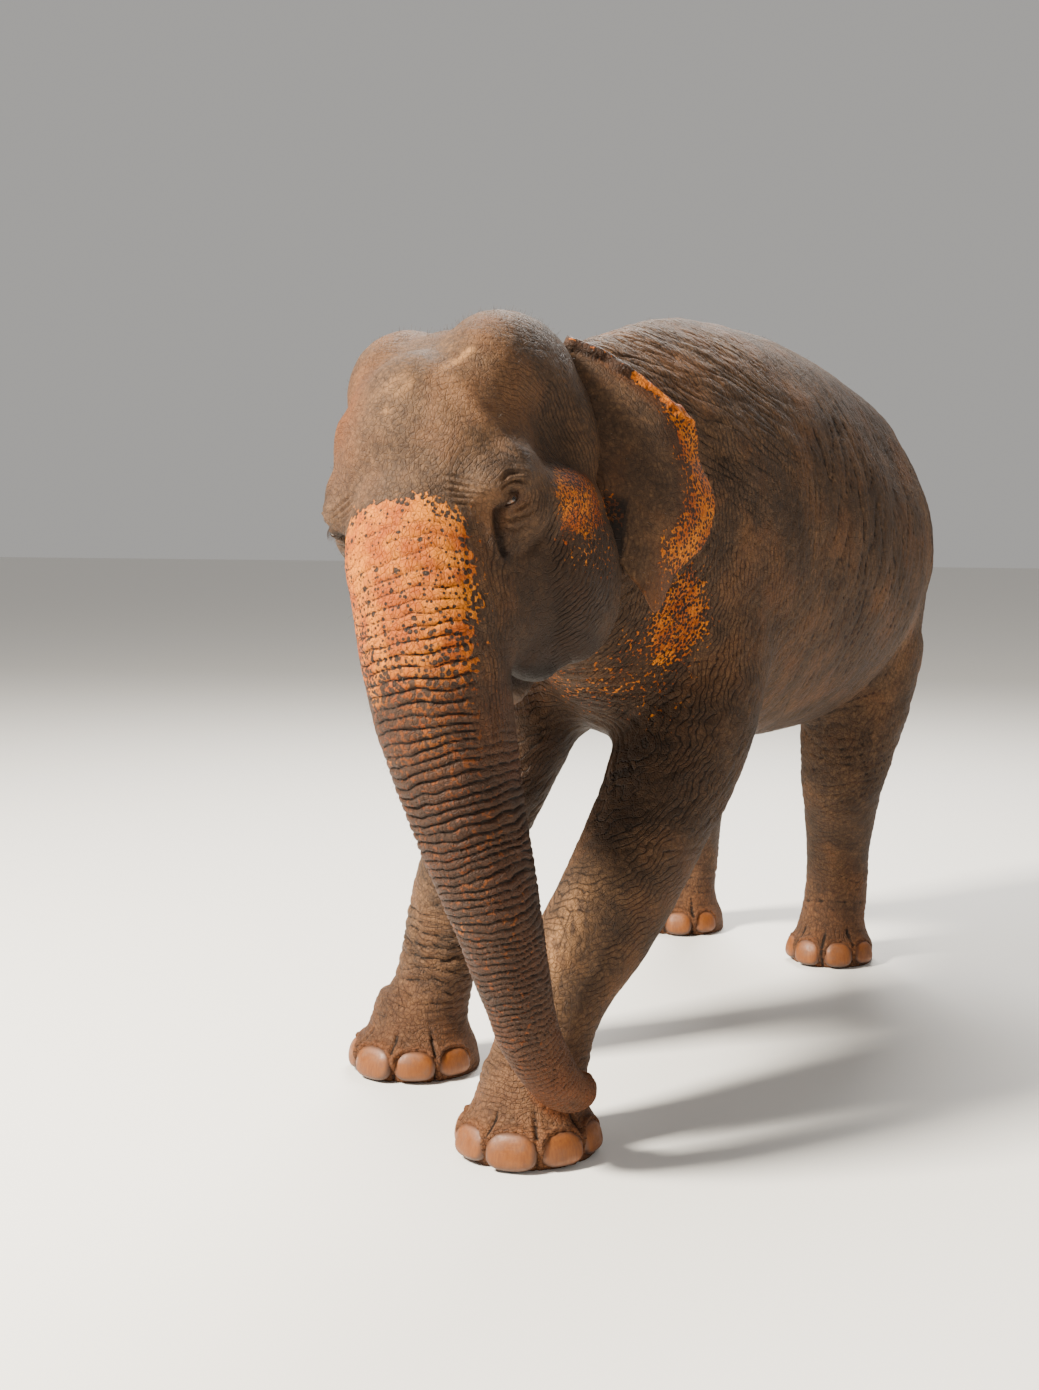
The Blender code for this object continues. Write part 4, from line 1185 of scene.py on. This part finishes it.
store(skin.data, "face", np.clip(headness, 0, 1))
ochre = 0.40 * ramp(0.50, 0.05, points[:, 2] + 0.10 * rough) + 0.3 * nailNear
ochre += 0.8 * blob(ownH, (-0.165, -0.20, 0.26), (0.06, 0.08, 0.12))
ochre[inFront] += 0.75 * trunkness[inFront] * ramp(0.40, 0.85, trunk.along) * (0.8 + 0.6 * rough[inFront])
ochre += 0.45 * earness * ramp(0.45, 0.75, out)
store(skin.data, "ochre", np.clip(ochre, 0, 1))

# the finest wrinkles: which line of them a place lies on, and how deep they are there. On the head
# they ring the eye; on the body they ring the head
wrinkleSpacing = {"head": 0.0130, "body": 0.0160}
fromHead = np.linalg.norm(points - (-0.14, -1.16, 1.62), axis=1)
fromEye = np.sqrt((place[:, :2] ** 2).sum(1) + 0.1 * place[:, 2] ** 2)
onHead = headness > 0.5
lines = np.where(onHead, fromEye / wrinkleSpacing["head"], fromHead / wrinkleSpacing["body"])
lines += 1.3 * noise(points, 0.12, 65) + 0.5 * noise(points, 0.05, 66)
behindEye = blob(h, (0.30, 0.08, -0.14), (0.11, 0.16, 0.24))
behindEye += 0.7 * blob(h, (0.24, 0.26, 0.34), (0.12, 0.14, 0.14))
beforeEye = blob(h, (0.17, -0.29, 0.02), (0.06, 0.05, 0.05))
onFace = 0.16 + 1.7 * behindEye + 0.8 * beforeEye
deep = np.where(onHead, onFace, 0.45 + 0.55 * ramp(1.6, 0.7, fromHead))
onTrunkSide = hump(np.abs(trunk.angle) - 1.35, 0.42) * ramp(1.0, 0.6, trunk.along)
ofTrunk = trunkness[inFront] > 0.5
lines[inFront] = np.where(ofTrunk, trunk.angle * 15 + 1.2 * rough[inFront], lines[inFront])
deep[inFront] = np.where(ofTrunk, 0.9 * onTrunkSide, deep[inFront])
deep[inFront] *= np.abs(trunkness[inFront] - 0.5) * 2
deep *= np.abs(headness - 0.5) * 2 * (1 - 0.6 * earness)
store(skin.data, "lines", lines)
store(skin.data, "deep", np.clip(deep, 0, 1))
report("marks")


# The skin in the frame's place

skin.data.transform(Matrix.Translation(bodyShift))
skin.data.shade_smooth()
skin.name = "elephant_skin"


# Shader maths, written as plain expressions

class Shade:
    # wraps a socket; an expression on it adds the Math nodes that work it out
    tree = None

    def __init__(self, socket):
        self.socket = socket

    @staticmethod
    def node(kind, settings=None, output=0, **inputs):
        # inputs go by name, with _ for a space, or by number, as in _0
        made = Shade.tree.nodes.new(kind)
        for name, value in (settings or {}).items():
            setattr(made, name, value)
        for name, value in inputs.items():
            key = int(name[1:]) if name[0] == "_" else name.replace("_", " ")
            Shade.feed(made.inputs[key], value)
        return Shade(made.outputs[output])

    @staticmethod
    def feed(socket, value):
        if isinstance(value, Shade):
            Shade.tree.links.new(value.socket, socket)
        else:
            socket.default_value = value

    def math(self, operation, *others):
        values = {f"_{i}": value for i, value in enumerate((self, *others))}
        return Shade.node("ShaderNodeMath", {"operation": operation}, **values)

    def __add__(self, other):
        return self.math("ADD", other)

    def __mul__(self, other):
        return self.math("MULTIPLY", other)

    def __sub__(self, other):
        return self.math("SUBTRACT", other)

    def __rsub__(self, other):
        return (self * -1) + other

    __radd__ = __add__
    __rmul__ = __mul__

    def clip(self):
        return Shade.node("ShaderNodeClamp", Value=self)

    def most(self, other):
        return self.math("MAXIMUM", other)

    def ramp(self, low, high, start=0.0, end=1.0):
        return Shade.node("ShaderNodeMapRange", {"interpolation_type": "SMOOTHSTEP"}, Value=self,
                          From_Min=low, From_Max=high, To_Min=start, To_Max=end)


def attribute(name):
    return Shade.node("ShaderNodeAttribute", {"attribute_name": name}, output="Fac")


def mixColour(share, first, second):
    return Shade.node("ShaderNodeMix", {"data_type": "RGBA"}, output=2, _0=share, _6=first, _7=second)


def stretched(scales):
    place = Shade.node("ShaderNodeTexCoord", output="Object")
    return Shade.node("ShaderNodeVectorMath", {"operation": "MULTIPLY"}, _0=place, _1=scales)


def clouds(place, scale, detail=4.0, roughness=0.55, distortion=0.0):
    return Shade.node("ShaderNodeTexNoise", Vector=place, Scale=scale, Detail=detail, Roughness=roughness,
                      Distortion=distortion)


def cells(place, scale, feature="F1", randomness=1.0):
    return Shade.node("ShaderNodeTexVoronoi", {"feature": feature}, output="Distance",
                      Vector=place, Scale=scale, Randomness=randomness)


def startMaterial(name):
    material = bpy.data.materials.new(name)
    material.use_nodes = True
    Shade.tree = material.node_tree
    return material, material.node_tree.nodes["Principled BSDF"]


def finish(shader, **sockets):
    for name, value in sockets.items():
        Shade.feed(shader.inputs[name.replace("_", " ")], value)


def colour(red, green, blue):
    # from sRGB, 0 to 255
    return (*(v / 3294.6 if v <= 10 else ((v / 255 + 0.055) / 1.055) ** 2.4 for v in (red, green, blue)), 1.0)


# Skin: grey-brown and cracked, and orange with dark freckles where it has lost its pigment

skinColours = {
    "dark": colour(54, 38, 26),
    "middle": colour(92, 67, 46),
    "light": colour(142, 106, 74),
    "dust": colour(134, 84, 46),
    "ochre": colour(112, 58, 20),
    "rust": colour(84, 41, 13),
    # the colour of painted shade in creases, hollows and furrows, also used for the cracks between plates
    "crease": colour(18, 11, 7),
    # worn scratches, and painted sunlight on the left shin
    "wornAndLit": colour(186, 134, 84),
    "pale": colour(162, 74, 2),
    "palest": colour(212, 122, 6),
    # dark freckles, and the colour of painted shade from the dark mask
    "freckleAndShade": colour(36, 23, 15),
}
skinPattern = {
    # how many to a metre
    "freckles": 92.0,
    "trunkFreckles": 68.0,
    "trunkSpots": 23.0,
    "worms": 125.0,
    "plates": 78.0,
    "platelets": 190.0,
    # strength, from 0 to 1
    "dust": 0.30,
    "darkening": 0.80,
    "creaseShading": 0.88,
    "wornAndLit": 0.75,
    # relief: strength, and depth in metres
    "bump": 0.85,
    "bumpDepth": 0.0020,
}


def elephantSkin():
    material, shader = startMaterial("elephant_skin")
    c = skinColours
    s = skinPattern
    place = stretched((1, 1, 1))
    broad = clouds(place, 2.6, 4.0)
    patchy = clouds(place, 11.0, 6.0, 0.62)
    fine = clouds(place, 70.0, 4.0, 0.6)
    grainy = clouds(place, 260.0, 3.0, 0.6)
    pale = attribute("pale")
    hollowShade = attribute("hollowShade")
    # painted shade in creases and hollows
    crease = hollowShade.ramp(0.08, 0.75)
    ridge = (hollowShade * -1).ramp(0.05, 0.70)
    onTrunk = attribute("onTrunk")
    worms = attribute("worms")

    face = attribute("face")
    blotches = patchy * (0.50 - face * 0.26) + face * 0.13
    tone = (broad * 0.40 + blotches + fine * 0.60 - 0.24).clip()
    grey = mixColour(tone.ramp(0.25, 0.75), c["dark"], c["middle"])
    grey = mixColour(tone.ramp(0.45, 0.95) * 0.7, grey, c["light"])
    grey = mixColour(clouds(place, 5.3, 5.0, 0.6).ramp(0.46, 0.72) * s["dust"], grey, c["dust"])
    grey = mixColour(attribute("ochre") * patchy.ramp(0.25, 0.65, 0.35, 0.85), grey, c["ochre"])
    grey = mixColour(ridge * 0.50, grey, c["light"])
    # painted shade from the dark mask, deepest where it is strongest, with darker skin down the trunk
    grey = mixColour(attribute("dark") * s["darkening"], grey, c["freckleAndShade"])
    grey = mixColour(attribute("dark").ramp(0.75, 1.00) * 0.25, grey, c["crease"])

    # freckles: dark dots that grow and join where less of the pigment is gone
    wobble = fine * 0.18 + grainy * 0.12 - 0.15
    lost = (pale + (patchy - 0.5) * 0.25 * pale.ramp(0.0, 0.3)).clip()
    size = lost.ramp(0.0, 1.0, 0.86, 0.16)
    dense = cells(place, s["freckles"], randomness=0.8) * (1 - onTrunk)
    dense = dense + cells(place, s["trunkFreckles"]) * onTrunk
    small = (dense + wobble - size).ramp(0.07, -0.07)
    spots = cells(stretched((1, 1, 1.15)), s["trunkSpots"])
    big = (spots + wobble * 1.3 - onTrunk * 0.20 + 0.01).ramp(0.03, -0.03)
    net = (clouds(place, s["worms"], 2.0, 0.5, 0.8) + lost * 0.16 - 0.62).ramp(0.03, -0.03)
    dots = small * (1 - worms) + net * worms
    dots = dots.most(big * onTrunk)
    pigment = dots.most(lost.ramp(0.16, 0.04))
    bare = mixColour(patchy.ramp(0.35, 0.68), c["pale"], c["palest"])
    rusty = onTrunk.ramp(0.0, 0.3) * attribute("ochre").ramp(0.0, 0.40) * 0.92
    bare = mixColour(rusty, bare, c["rust"])
    freckled = mixColour(lost.ramp(0.15, 0.60) * 0.75, grey, c["freckleAndShade"])
    skinColour = mixColour(pigment, bare, freckled)
    # worn scratches, and painted sunlight on the left shin
    skinColour = mixColour(attribute("wornAndLit") * s["wornAndLit"], skinColour, c["wornAndLit"])
    # painted shade in the creases
    skinColour = mixColour(crease * s["creaseShading"], skinColour, c["crease"])

    # cracks between small plates of skin
    plates = cells(stretched((1.0, 1.0, 0.75)), s["plates"], "DISTANCE_TO_EDGE").ramp(0.0, 0.13)
    platelets = cells(stretched((1.0, 1.0, 1.3)), s["platelets"], "DISTANCE_TO_EDGE").ramp(0.0, 0.16)
    strength = face * -0.30 + 1.0
    relief = plates * 1.1 * strength + platelets * 0.45 + grainy * 0.5 + fine * 0.5
    # the finest wrinkles
    line = attribute("lines") + (clouds(place, 16.0, 3.0) - 0.5) * 2.4
    ridges = (line * math.pi).math("SINE").math("ABSOLUTE").ramp(0.0, 0.55)
    deep = attribute("deep") * clouds(place, 7.0, 3.0).ramp(0.30, 0.56)
    furrow = (1 - ridges) * deep * (1 - onTrunk)
    relief = relief - pigment * 0.10 - furrow * 3.0
    # painted shade in the furrows of the finest wrinkles
    skinColour = mixColour(furrow * 0.85, skinColour, c["crease"])
    bump = Shade.node("ShaderNodeBump", output="Normal", Strength=s["bump"], Distance=s["bumpDepth"],
                      Height=relief)
    skinColour = mixColour((1 - plates) * 0.35 * strength, skinColour, c["crease"])
    roughness = (fine * 0.22 + patchy * 0.14 + 0.50 - attribute("dark") * 0.12).clip()
    finish(shader, Base_Color=skinColour, Roughness=roughness, Normal=bump)
    shader.inputs["Specular IOR Level"].default_value = 0.24
    return material


skin.data.materials.clear()
skin.data.materials.append(elephantSkin())
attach(skin, "root")
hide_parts(*[name for name in frame["nodes"]
                    if not name.startswith(("eye_", "toenail_", "tail_tuft"))])
report("skin finished")


# Eyes: dark brown, wet, nearly closed

eyeColours = {
    "pupil": colour(5, 4, 4),
    "iris": colour(92, 52, 22),
    "irisRays": colour(150, 96, 44),
    "white": colour(74, 52, 42),
}


def eyeMaterial():
    material, shader = startMaterial("elephant_eye")
    c = eyeColours
    fromAxis = attribute("fromAxis")
    rays = clouds(stretched((1, 1, 1)), 900.0, 3.0)
    iris = mixColour(rays, c["iris"], c["irisRays"])
    tone = mixColour(fromAxis.ramp(0.30, 0.34), c["pupil"], iris)
    tone = mixColour(fromAxis.ramp(0.60, 0.68), tone, c["white"])
    finish(shader, Base_Color=tone)
    shader.inputs["Roughness"].default_value = 0.10
    shader.inputs["Coat Weight"].default_value = 1.0
    shader.inputs["Coat Roughness"].default_value = 0.03
    return material


eyeFinish = eyeMaterial()
for side, node in ((1, "eye_left"), (-1, "eye_right")):
    s = eyeSettings
    mesh = egg((0, 0, 0), (1, 1, 1), around=64)
    spots = pointsOf(mesh)
    aim = unit(eyeOut + 0.12 * eyeBack)
    across = np.linalg.norm(spots - np.outer(spots @ aim, aim), axis=1) + (spots @ aim < 0) * 2
    bulge = 1 + 0.07 * hump(across, 0.5)      # the cornea
    spots = (np.array(s["centre"]) + spots * bulge[:, None] * s["radius"]) * (side, 1, 1)
    movePoints(mesh, spots)
    mesh.transform(Matrix.Translation(bodyShift) @ headFrame)
    store(mesh, "fromAxis", across)
    mesh.shade_smooth()
    mesh.materials.append(eyeFinish)
    eyeball = addObject(node + "_ball", mesh)
    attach(eyeball, "root")
    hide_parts(node)


# Toenails: broad convex plates, worn at the tips

nailColours = {
    "first": colour(98, 49, 4),
    "second": colour(122, 68, 13),
    "stain": colour(96, 62, 42),
    "root": colour(112, 70, 46),
    "tip": colour(84, 60, 46),
    "edge": colour(60, 40, 29),
}


def nailMaterial():
    material, shader = startMaterial("toenail")
    c = nailColours
    place = stretched((1, 1, 1))
    level = attribute("level")
    growth = clouds(stretched((22, 22, 150)), 1.0, 3.0)
    streaks = clouds(stretched((180, 180, 14)), 1.0, 4.0)
    stain = clouds(place, 38.0, 5.0, 0.65)
    tone = mixColour(streaks.ramp(0.20, 0.80), c["first"], c["second"])
    tone = mixColour(stain.ramp(0.50, 0.72) * 0.75, tone, c["stain"])
    tone = mixColour(level.ramp(0.45, 1.0) * 0.55, tone, c["root"])
    tone = mixColour(level.ramp(-0.45, -1.0) * 0.65, tone, c["tip"])
    tone = mixColour(attribute("edge").ramp(0.72, 1.0) * 0.8, tone, c["edge"])
    relief = growth * 0.7 + streaks * 0.3 + clouds(place, 300.0, 3.0) * 0.3
    bump = Shade.node("ShaderNodeBump", output="Normal", Strength=0.6, Distance=0.0012, Height=relief)
    finish(shader, Base_Color=tone, Roughness=stain.ramp(0.3, 0.7, 0.42, 0.66), Normal=bump)
    return material


nailFinish = nailMaterial()
for foot, places in nailsOf.items():
    for i, (frameOf, width, height) in enumerate(places):
        mesh = egg((0, 0, 0), (1, 1, 1), around=56)
        spots = pointsOf(mesh)
        x, y, z = spots.T
        level = z.copy()
        edge = np.hypot(x, z)
        swell = 1 + 0.05 * noise(spots + i, 0.7, 201 + i)
        # squarer than an egg, most of all at the lower edge
        x = np.sign(x) * np.abs(x) ** 0.80
        z = np.sign(z) * np.abs(z) ** np.where(z > 0, 0.92, 0.62)
        y = np.sign(y) * np.abs(y) ** 0.85
        depth = nailSettings["depth"] * (1.04 - 0.12 * np.clip(level, 0, 1))      # thinner at the top
        spots = np.column_stack([x * width * 1.12, y * depth * swell, z * height * 1.06])
        movePoints(mesh, spots)
        mesh.transform(Matrix.Translation(bodyShift) @ frameOf)
        spots = pointsOf(mesh)
        spots[:, 2] = np.maximum(spots[:, 2], 0.001)
        movePoints(mesh, spots)
        store(mesh, "level", level)
        store(mesh, "edge", edge)
        mesh.shade_smooth()
        mesh.materials.append(nailFinish)
        node = f"toenail_{foot}_{i + 1}"
        nail = addObject(node + "_plate", mesh)
        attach(nail, "root")
        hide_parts(node)
report("eyes and nails")


# Hairs: the tail's tuft, and a few bristles on the crown, back, chin and tail

mapPatch = 0.003       # breadth of each face's own square on the map "OFBake"


def hairMesh(roots, patches, sides=4):
    # tapered strands: each root is a list of places and a radius, and each patch is where on the map
    # the strand takes its colours
    verts, faces, places = [], [], []
    for (strand, radius), (patchU, patchV) in zip(roots, patches):
        start = len(verts)
        strand = np.array(strand)
        tangent = np.gradient(strand, axis=0)
        tangent /= np.linalg.norm(tangent, axis=1)[:, None] + 1e-9
        helper = np.array((0.36, 0.48, 0.80))
        first = np.cross(tangent, helper)
        first /= np.linalg.norm(first, axis=1)[:, None] + 1e-9
        second = np.cross(tangent, first)
        last = len(strand) - 1
        for k in range(last):
            thick = radius * (1 - 0.8 * k / last)
            for j in range(sides):
                angle = math.tau * j / sides
                verts.append(strand[k] + thick * (math.cos(angle) * first[k] + math.sin(angle) * second[k]))
        verts.append(strand[last])
        tip = len(verts) - 1
        for k in range(last):
            for j in range(sides):
                a, b = start + k * sides + j, start + k * sides + (j + 1) % sides
                faces.append((a, b, b + sides, a + sides) if k < last - 1 else (a, b, tip))
        faces.append(tuple(start + j for j in reversed(range(sides))))
        places += [(patchU, patchV)] * (last * sides + 1)
    mesh = bpy.data.meshes.new("hair")
    mesh.from_pydata([tuple(v) for v in verts], [], faces)
    uv = mesh.uv_layers.new(name="OFBake")
    corners = ((0, 0), (mapPatch, 0), (mapPatch, mapPatch), (0, mapPatch))
    for polygon, (patchU, patchV) in zip(mesh.polygons, places):
        for k, loop in enumerate(polygon.loop_indices):
            du, dv = corners[k % 4]
            uv.data[loop].uv = (patchU + du, patchV + dv)
    mesh.shade_smooth()
    return mesh


def hairMaterial(name, first, second):
    material, shader = startMaterial(name)
    variety = clouds(stretched((1, 1, 1)), 60.0, 2.0)
    tone = mixColour(variety.ramp(0.3, 0.7), first, second)
    finish(shader, Base_Color=tone, Roughness=variety.ramp(0, 1, 0.35, 0.5))
    return material


tuftSettings = {
    "line": ((0.072, 1.846, 1.04, 0.026), (0.072, 1.842, 0.92, 0.030), (0.072, 1.838, 0.78, 0.022)),
    "strands": 420,
    "longest": 0.33,
    "lowest": 0.63,       # height over the ground
    "radius": 0.00115,
    "joints": 8,          # bends in each strand
}


def tailTuft():
    s = tuftSettings
    dice = np.random.default_rng(5)
    roots, patches = [], []
    for i in range(s["strands"]):
        share = dice.uniform(0, 0.72)
        x, y, z = curveThrough([knot[:3] for knot in s["line"]], share)
        row = 1 if dice.random() < 0.5 else -1
        angle = row * math.pi / 2 + dice.normal(0, 0.5)
        tailRadius = 0.021 - 0.012 * share
        out = np.array((math.cos(angle), math.sin(angle), 0))
        start = np.array((x, y, z)) + out * (tailRadius - 0.003)
        length = min(s["longest"] * dice.uniform(0.55, 1.0), z - s["lowest"])
        spread = dice.uniform(0.012, 0.036)
        bend = dice.normal(0, 0.010, 2)
        strand = []
        for k in range(s["joints"] + 1):
            t = k / s["joints"]
            away = out * (spread * math.sin(min(t * 1.9, 1.6)) + 0.004)
            strand.append(start + away + (bend[0] * t * t, bend[1] * t * t, -length * t))
        roots.append((strand, s["radius"] * dice.uniform(0.8, 1.3)))
        patches.append(((angle / math.tau) % 1 * 0.99, share * 0.99))
    return hairMesh(roots, patches)


tuft = tailTuft()
tuft.transform(Matrix.Translation(bodyShift))
tuft.materials.append(hairMaterial("tuft_hair", colour(18, 14, 12), colour(46, 34, 27)))
tuft = addObject("tail_tuft_hair", tuft)
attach(tuft, "root")
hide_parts("tail_tuft")

bristleRadius = 0.00042
bristleSettings = {
    # in the body's frame: middle and spread of a region, number of hairs, length, lean of the tips
    "crown": ((-0.08, -1.16, 2.20), (0.20, 0.20, 0.16), 420, 0.020, (0.0, 0.5, 0.5)),
    "forehead": ((-0.10, -1.48, 1.98), (0.16, 0.14, 0.16), 220, 0.014, (0.0, -0.2, 0.4)),
    "back": ((0.02, 0.45, 2.30), (0.22, 0.90, 0.14), 300, 0.020, (0.0, 0.8, -0.2)),
    "chin": ((-0.10, -1.15, 1.24), (0.10, 0.14, 0.10), 420, 0.045, (0.0, -0.2, -0.9)),
    "trunk": ((-0.02, -1.62, 1.30), (0.16, 0.12, 0.45), 500, 0.018, (0.0, -0.2, -0.8)),
    "tail": ((0.07, 1.85, 1.35), (0.08, 0.12, 0.35), 420, 0.035, (0.0, 0.2, -0.9)),
    "ear": ((0.20, -0.97, 1.60), (0.10, 0.10, 0.20), 120, 0.030, (0.3, -0.4, -0.3)),
}


lashSettings = {"count": 46, "shortest": 0.020, "longest": 0.036, "radius": 0.00038}


def lashes(dice):
    # the upper lid's long lashes, which hang before the eye
    s = eyeSettings
    slant = math.radians(s["slant"])
    roots, patches = [], []
    for side in (1, -1):
        for i in range(lashSettings["count"]):
            ranked = i / (lashSettings["count"] - 1)
            share = ranked * 2 - 1
            u = share * s["halfLength"] * 0.95
            v = s["halfOpening"] * 0.75 * (1 - share * share) + dice.uniform(0.000, 0.0025)
            a = u * math.cos(slant) - v * math.sin(slant)
            b = u * math.sin(slant) + v * math.cos(slant)
            n = math.sqrt(max((s["radius"] + s["lid"]) ** 2 - a * a - b * b, 0)) - 0.0005
            length = dice.uniform(lashSettings["shortest"], lashSettings["longest"])
            strand = []
            for k in range(6):
                t = k / 5
                da = length * t * (0.10 + 0.25 * share)
                db = -length * (0.35 * t + 0.40 * t * t)
                dn = length * 0.55 * t * (1.15 - 0.45 * t)
                spot = eyeSpot + (a + da) * eyeBack + (b + db) * eyeUp + (n + dn) * eyeOut
                strand.append(headMatrix[:3, :3] @ (spot * (side, 1, 1)) + headMatrix[:3, 3])
            roots.append((strand, lashSettings["radius"]))
            patches.append((0.90 + 0.04 * ranked, 0.95))
    return roots, patches


def bristles():
    dice = np.random.default_rng(9)
    shift = np.array(bodyShift)
    mesh = skin.data
    spots = pointsOf(mesh) - shift
    facing = normalsOf(mesh)
    low, high = spots.min(0), spots.max(0)
    roots, patches = lashes(dice)
    for middle, spread, count, length, lean in bristleSettings.values():
        weight = blob(spots, middle, spread)
        chosen = dice.choice(len(spots), size=count, p=weight / weight.sum())
        for i in chosen:
            reach = length * dice.uniform(0.5, 1.3)
            aim = unit(facing[i] + 0.9 * np.array(lean) + dice.normal(0, 0.22, 3))
            if aim @ facing[i] < 0.15:
                aim = unit(aim + facing[i] * (0.25 - aim @ facing[i]))
            sag = np.array(lean) * 0.25
            start = spots[i] - facing[i] * 0.002
            strand = [start + reach * (aim * t + sag * t * t) for t in (0, 0.35, 0.7, 1.0)]
            strand = [(max(min(x, high[0]), low[0]), y, min(z, high[2] + 0.012)) for x, y, z in strand]
            roots.append((strand, bristleRadius))
            around = math.atan2(spots[i][0], spots[i][2] - 1.2) / math.tau % 1
            along = (spots[i][1] - low[1]) / (high[1] - low[1])
            patches.append((around * 0.99, along * 0.90))
    return hairMesh(roots, patches, 3)


hairs = bristles()
hairs.transform(Matrix.Translation(bodyShift))
hairs.materials.append(hairMaterial("bristle_hair", colour(32, 22, 17), colour(84, 56, 38)))
hairs = addObject("body_bristles", hairs)
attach(hairs, "root")
report("hairs")


# Floor, light and camera

floorSettings = {"size": 60, "colour": colour(236, 233, 228), "roughness": 0.85}
floorMesh = meshFrom(lambda bm: bmesh.ops.create_grid(
    bm, x_segments=1, y_segments=1, size=floorSettings["size"]))
floor = addObject("floor", floorMesh)
floorMaterial, floorShader = startMaterial("pale_floor")
finish(floorShader, Base_Color=floorSettings["colour"], Roughness=floorSettings["roughness"])
floor.data.materials.append(floorMaterial)

lights = {
    # place, aim, watts, breadth, colour
    "key": ((-4.5, -6.2, 7.8), (0.0, -0.8, 1.2), 4500, 2.0, (1.0, 0.93, 0.80)),
    "fill": ((5.5, -6.0, 3.0), (0.0, -0.6, 1.1), 70, 5.0, (1.0, 0.98, 0.95)),
    "back": ((-1.5, 5.4, 7.6), (0.0, 0.2, 1.8), 1300, 4.0, (1.0, 0.97, 0.92)),
}
for name, (place, aim, watts, breadth, tint) in lights.items():
    lamp = bpy.data.objects.new(name, bpy.data.lights.new(name, "AREA"))
    bpy.context.scene.collection.objects.link(lamp)
    lamp.data.energy = watts
    lamp.data.size = breadth
    lamp.data.color = tint
    lamp.location = place
    lamp.rotation_euler = (Vector(aim) - lamp.location).to_track_quat("-Z", "Y").to_euler()

world = bpy.data.worlds.new("studio")
world.use_nodes = True
sky = world.node_tree.nodes["Background"]
sky.inputs["Color"].default_value = (0.84, 0.82, 0.79, 1)
sky.inputs["Strength"].default_value = 0.50
bpy.context.scene.world = world

cameraSettings = {"place": (2.02, -5.50, 1.70), "lens": 46.6, "down": 5.55, "turn": 25}     # degrees
camera = bpy.data.objects.new("camera", bpy.data.cameras.new("camera"))
bpy.context.scene.collection.objects.link(camera)
camera.data.lens = cameraSettings["lens"]
camera.data.sensor_fit = "VERTICAL"
camera.data.sensor_height = 36
camera.location = Vector(cameraSettings["place"]) + bodyShift
camera.rotation_euler = (math.radians(90 - cameraSettings["down"]), 0, math.radians(cameraSettings["turn"]))
bpy.context.scene.camera = camera

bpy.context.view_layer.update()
report("done")
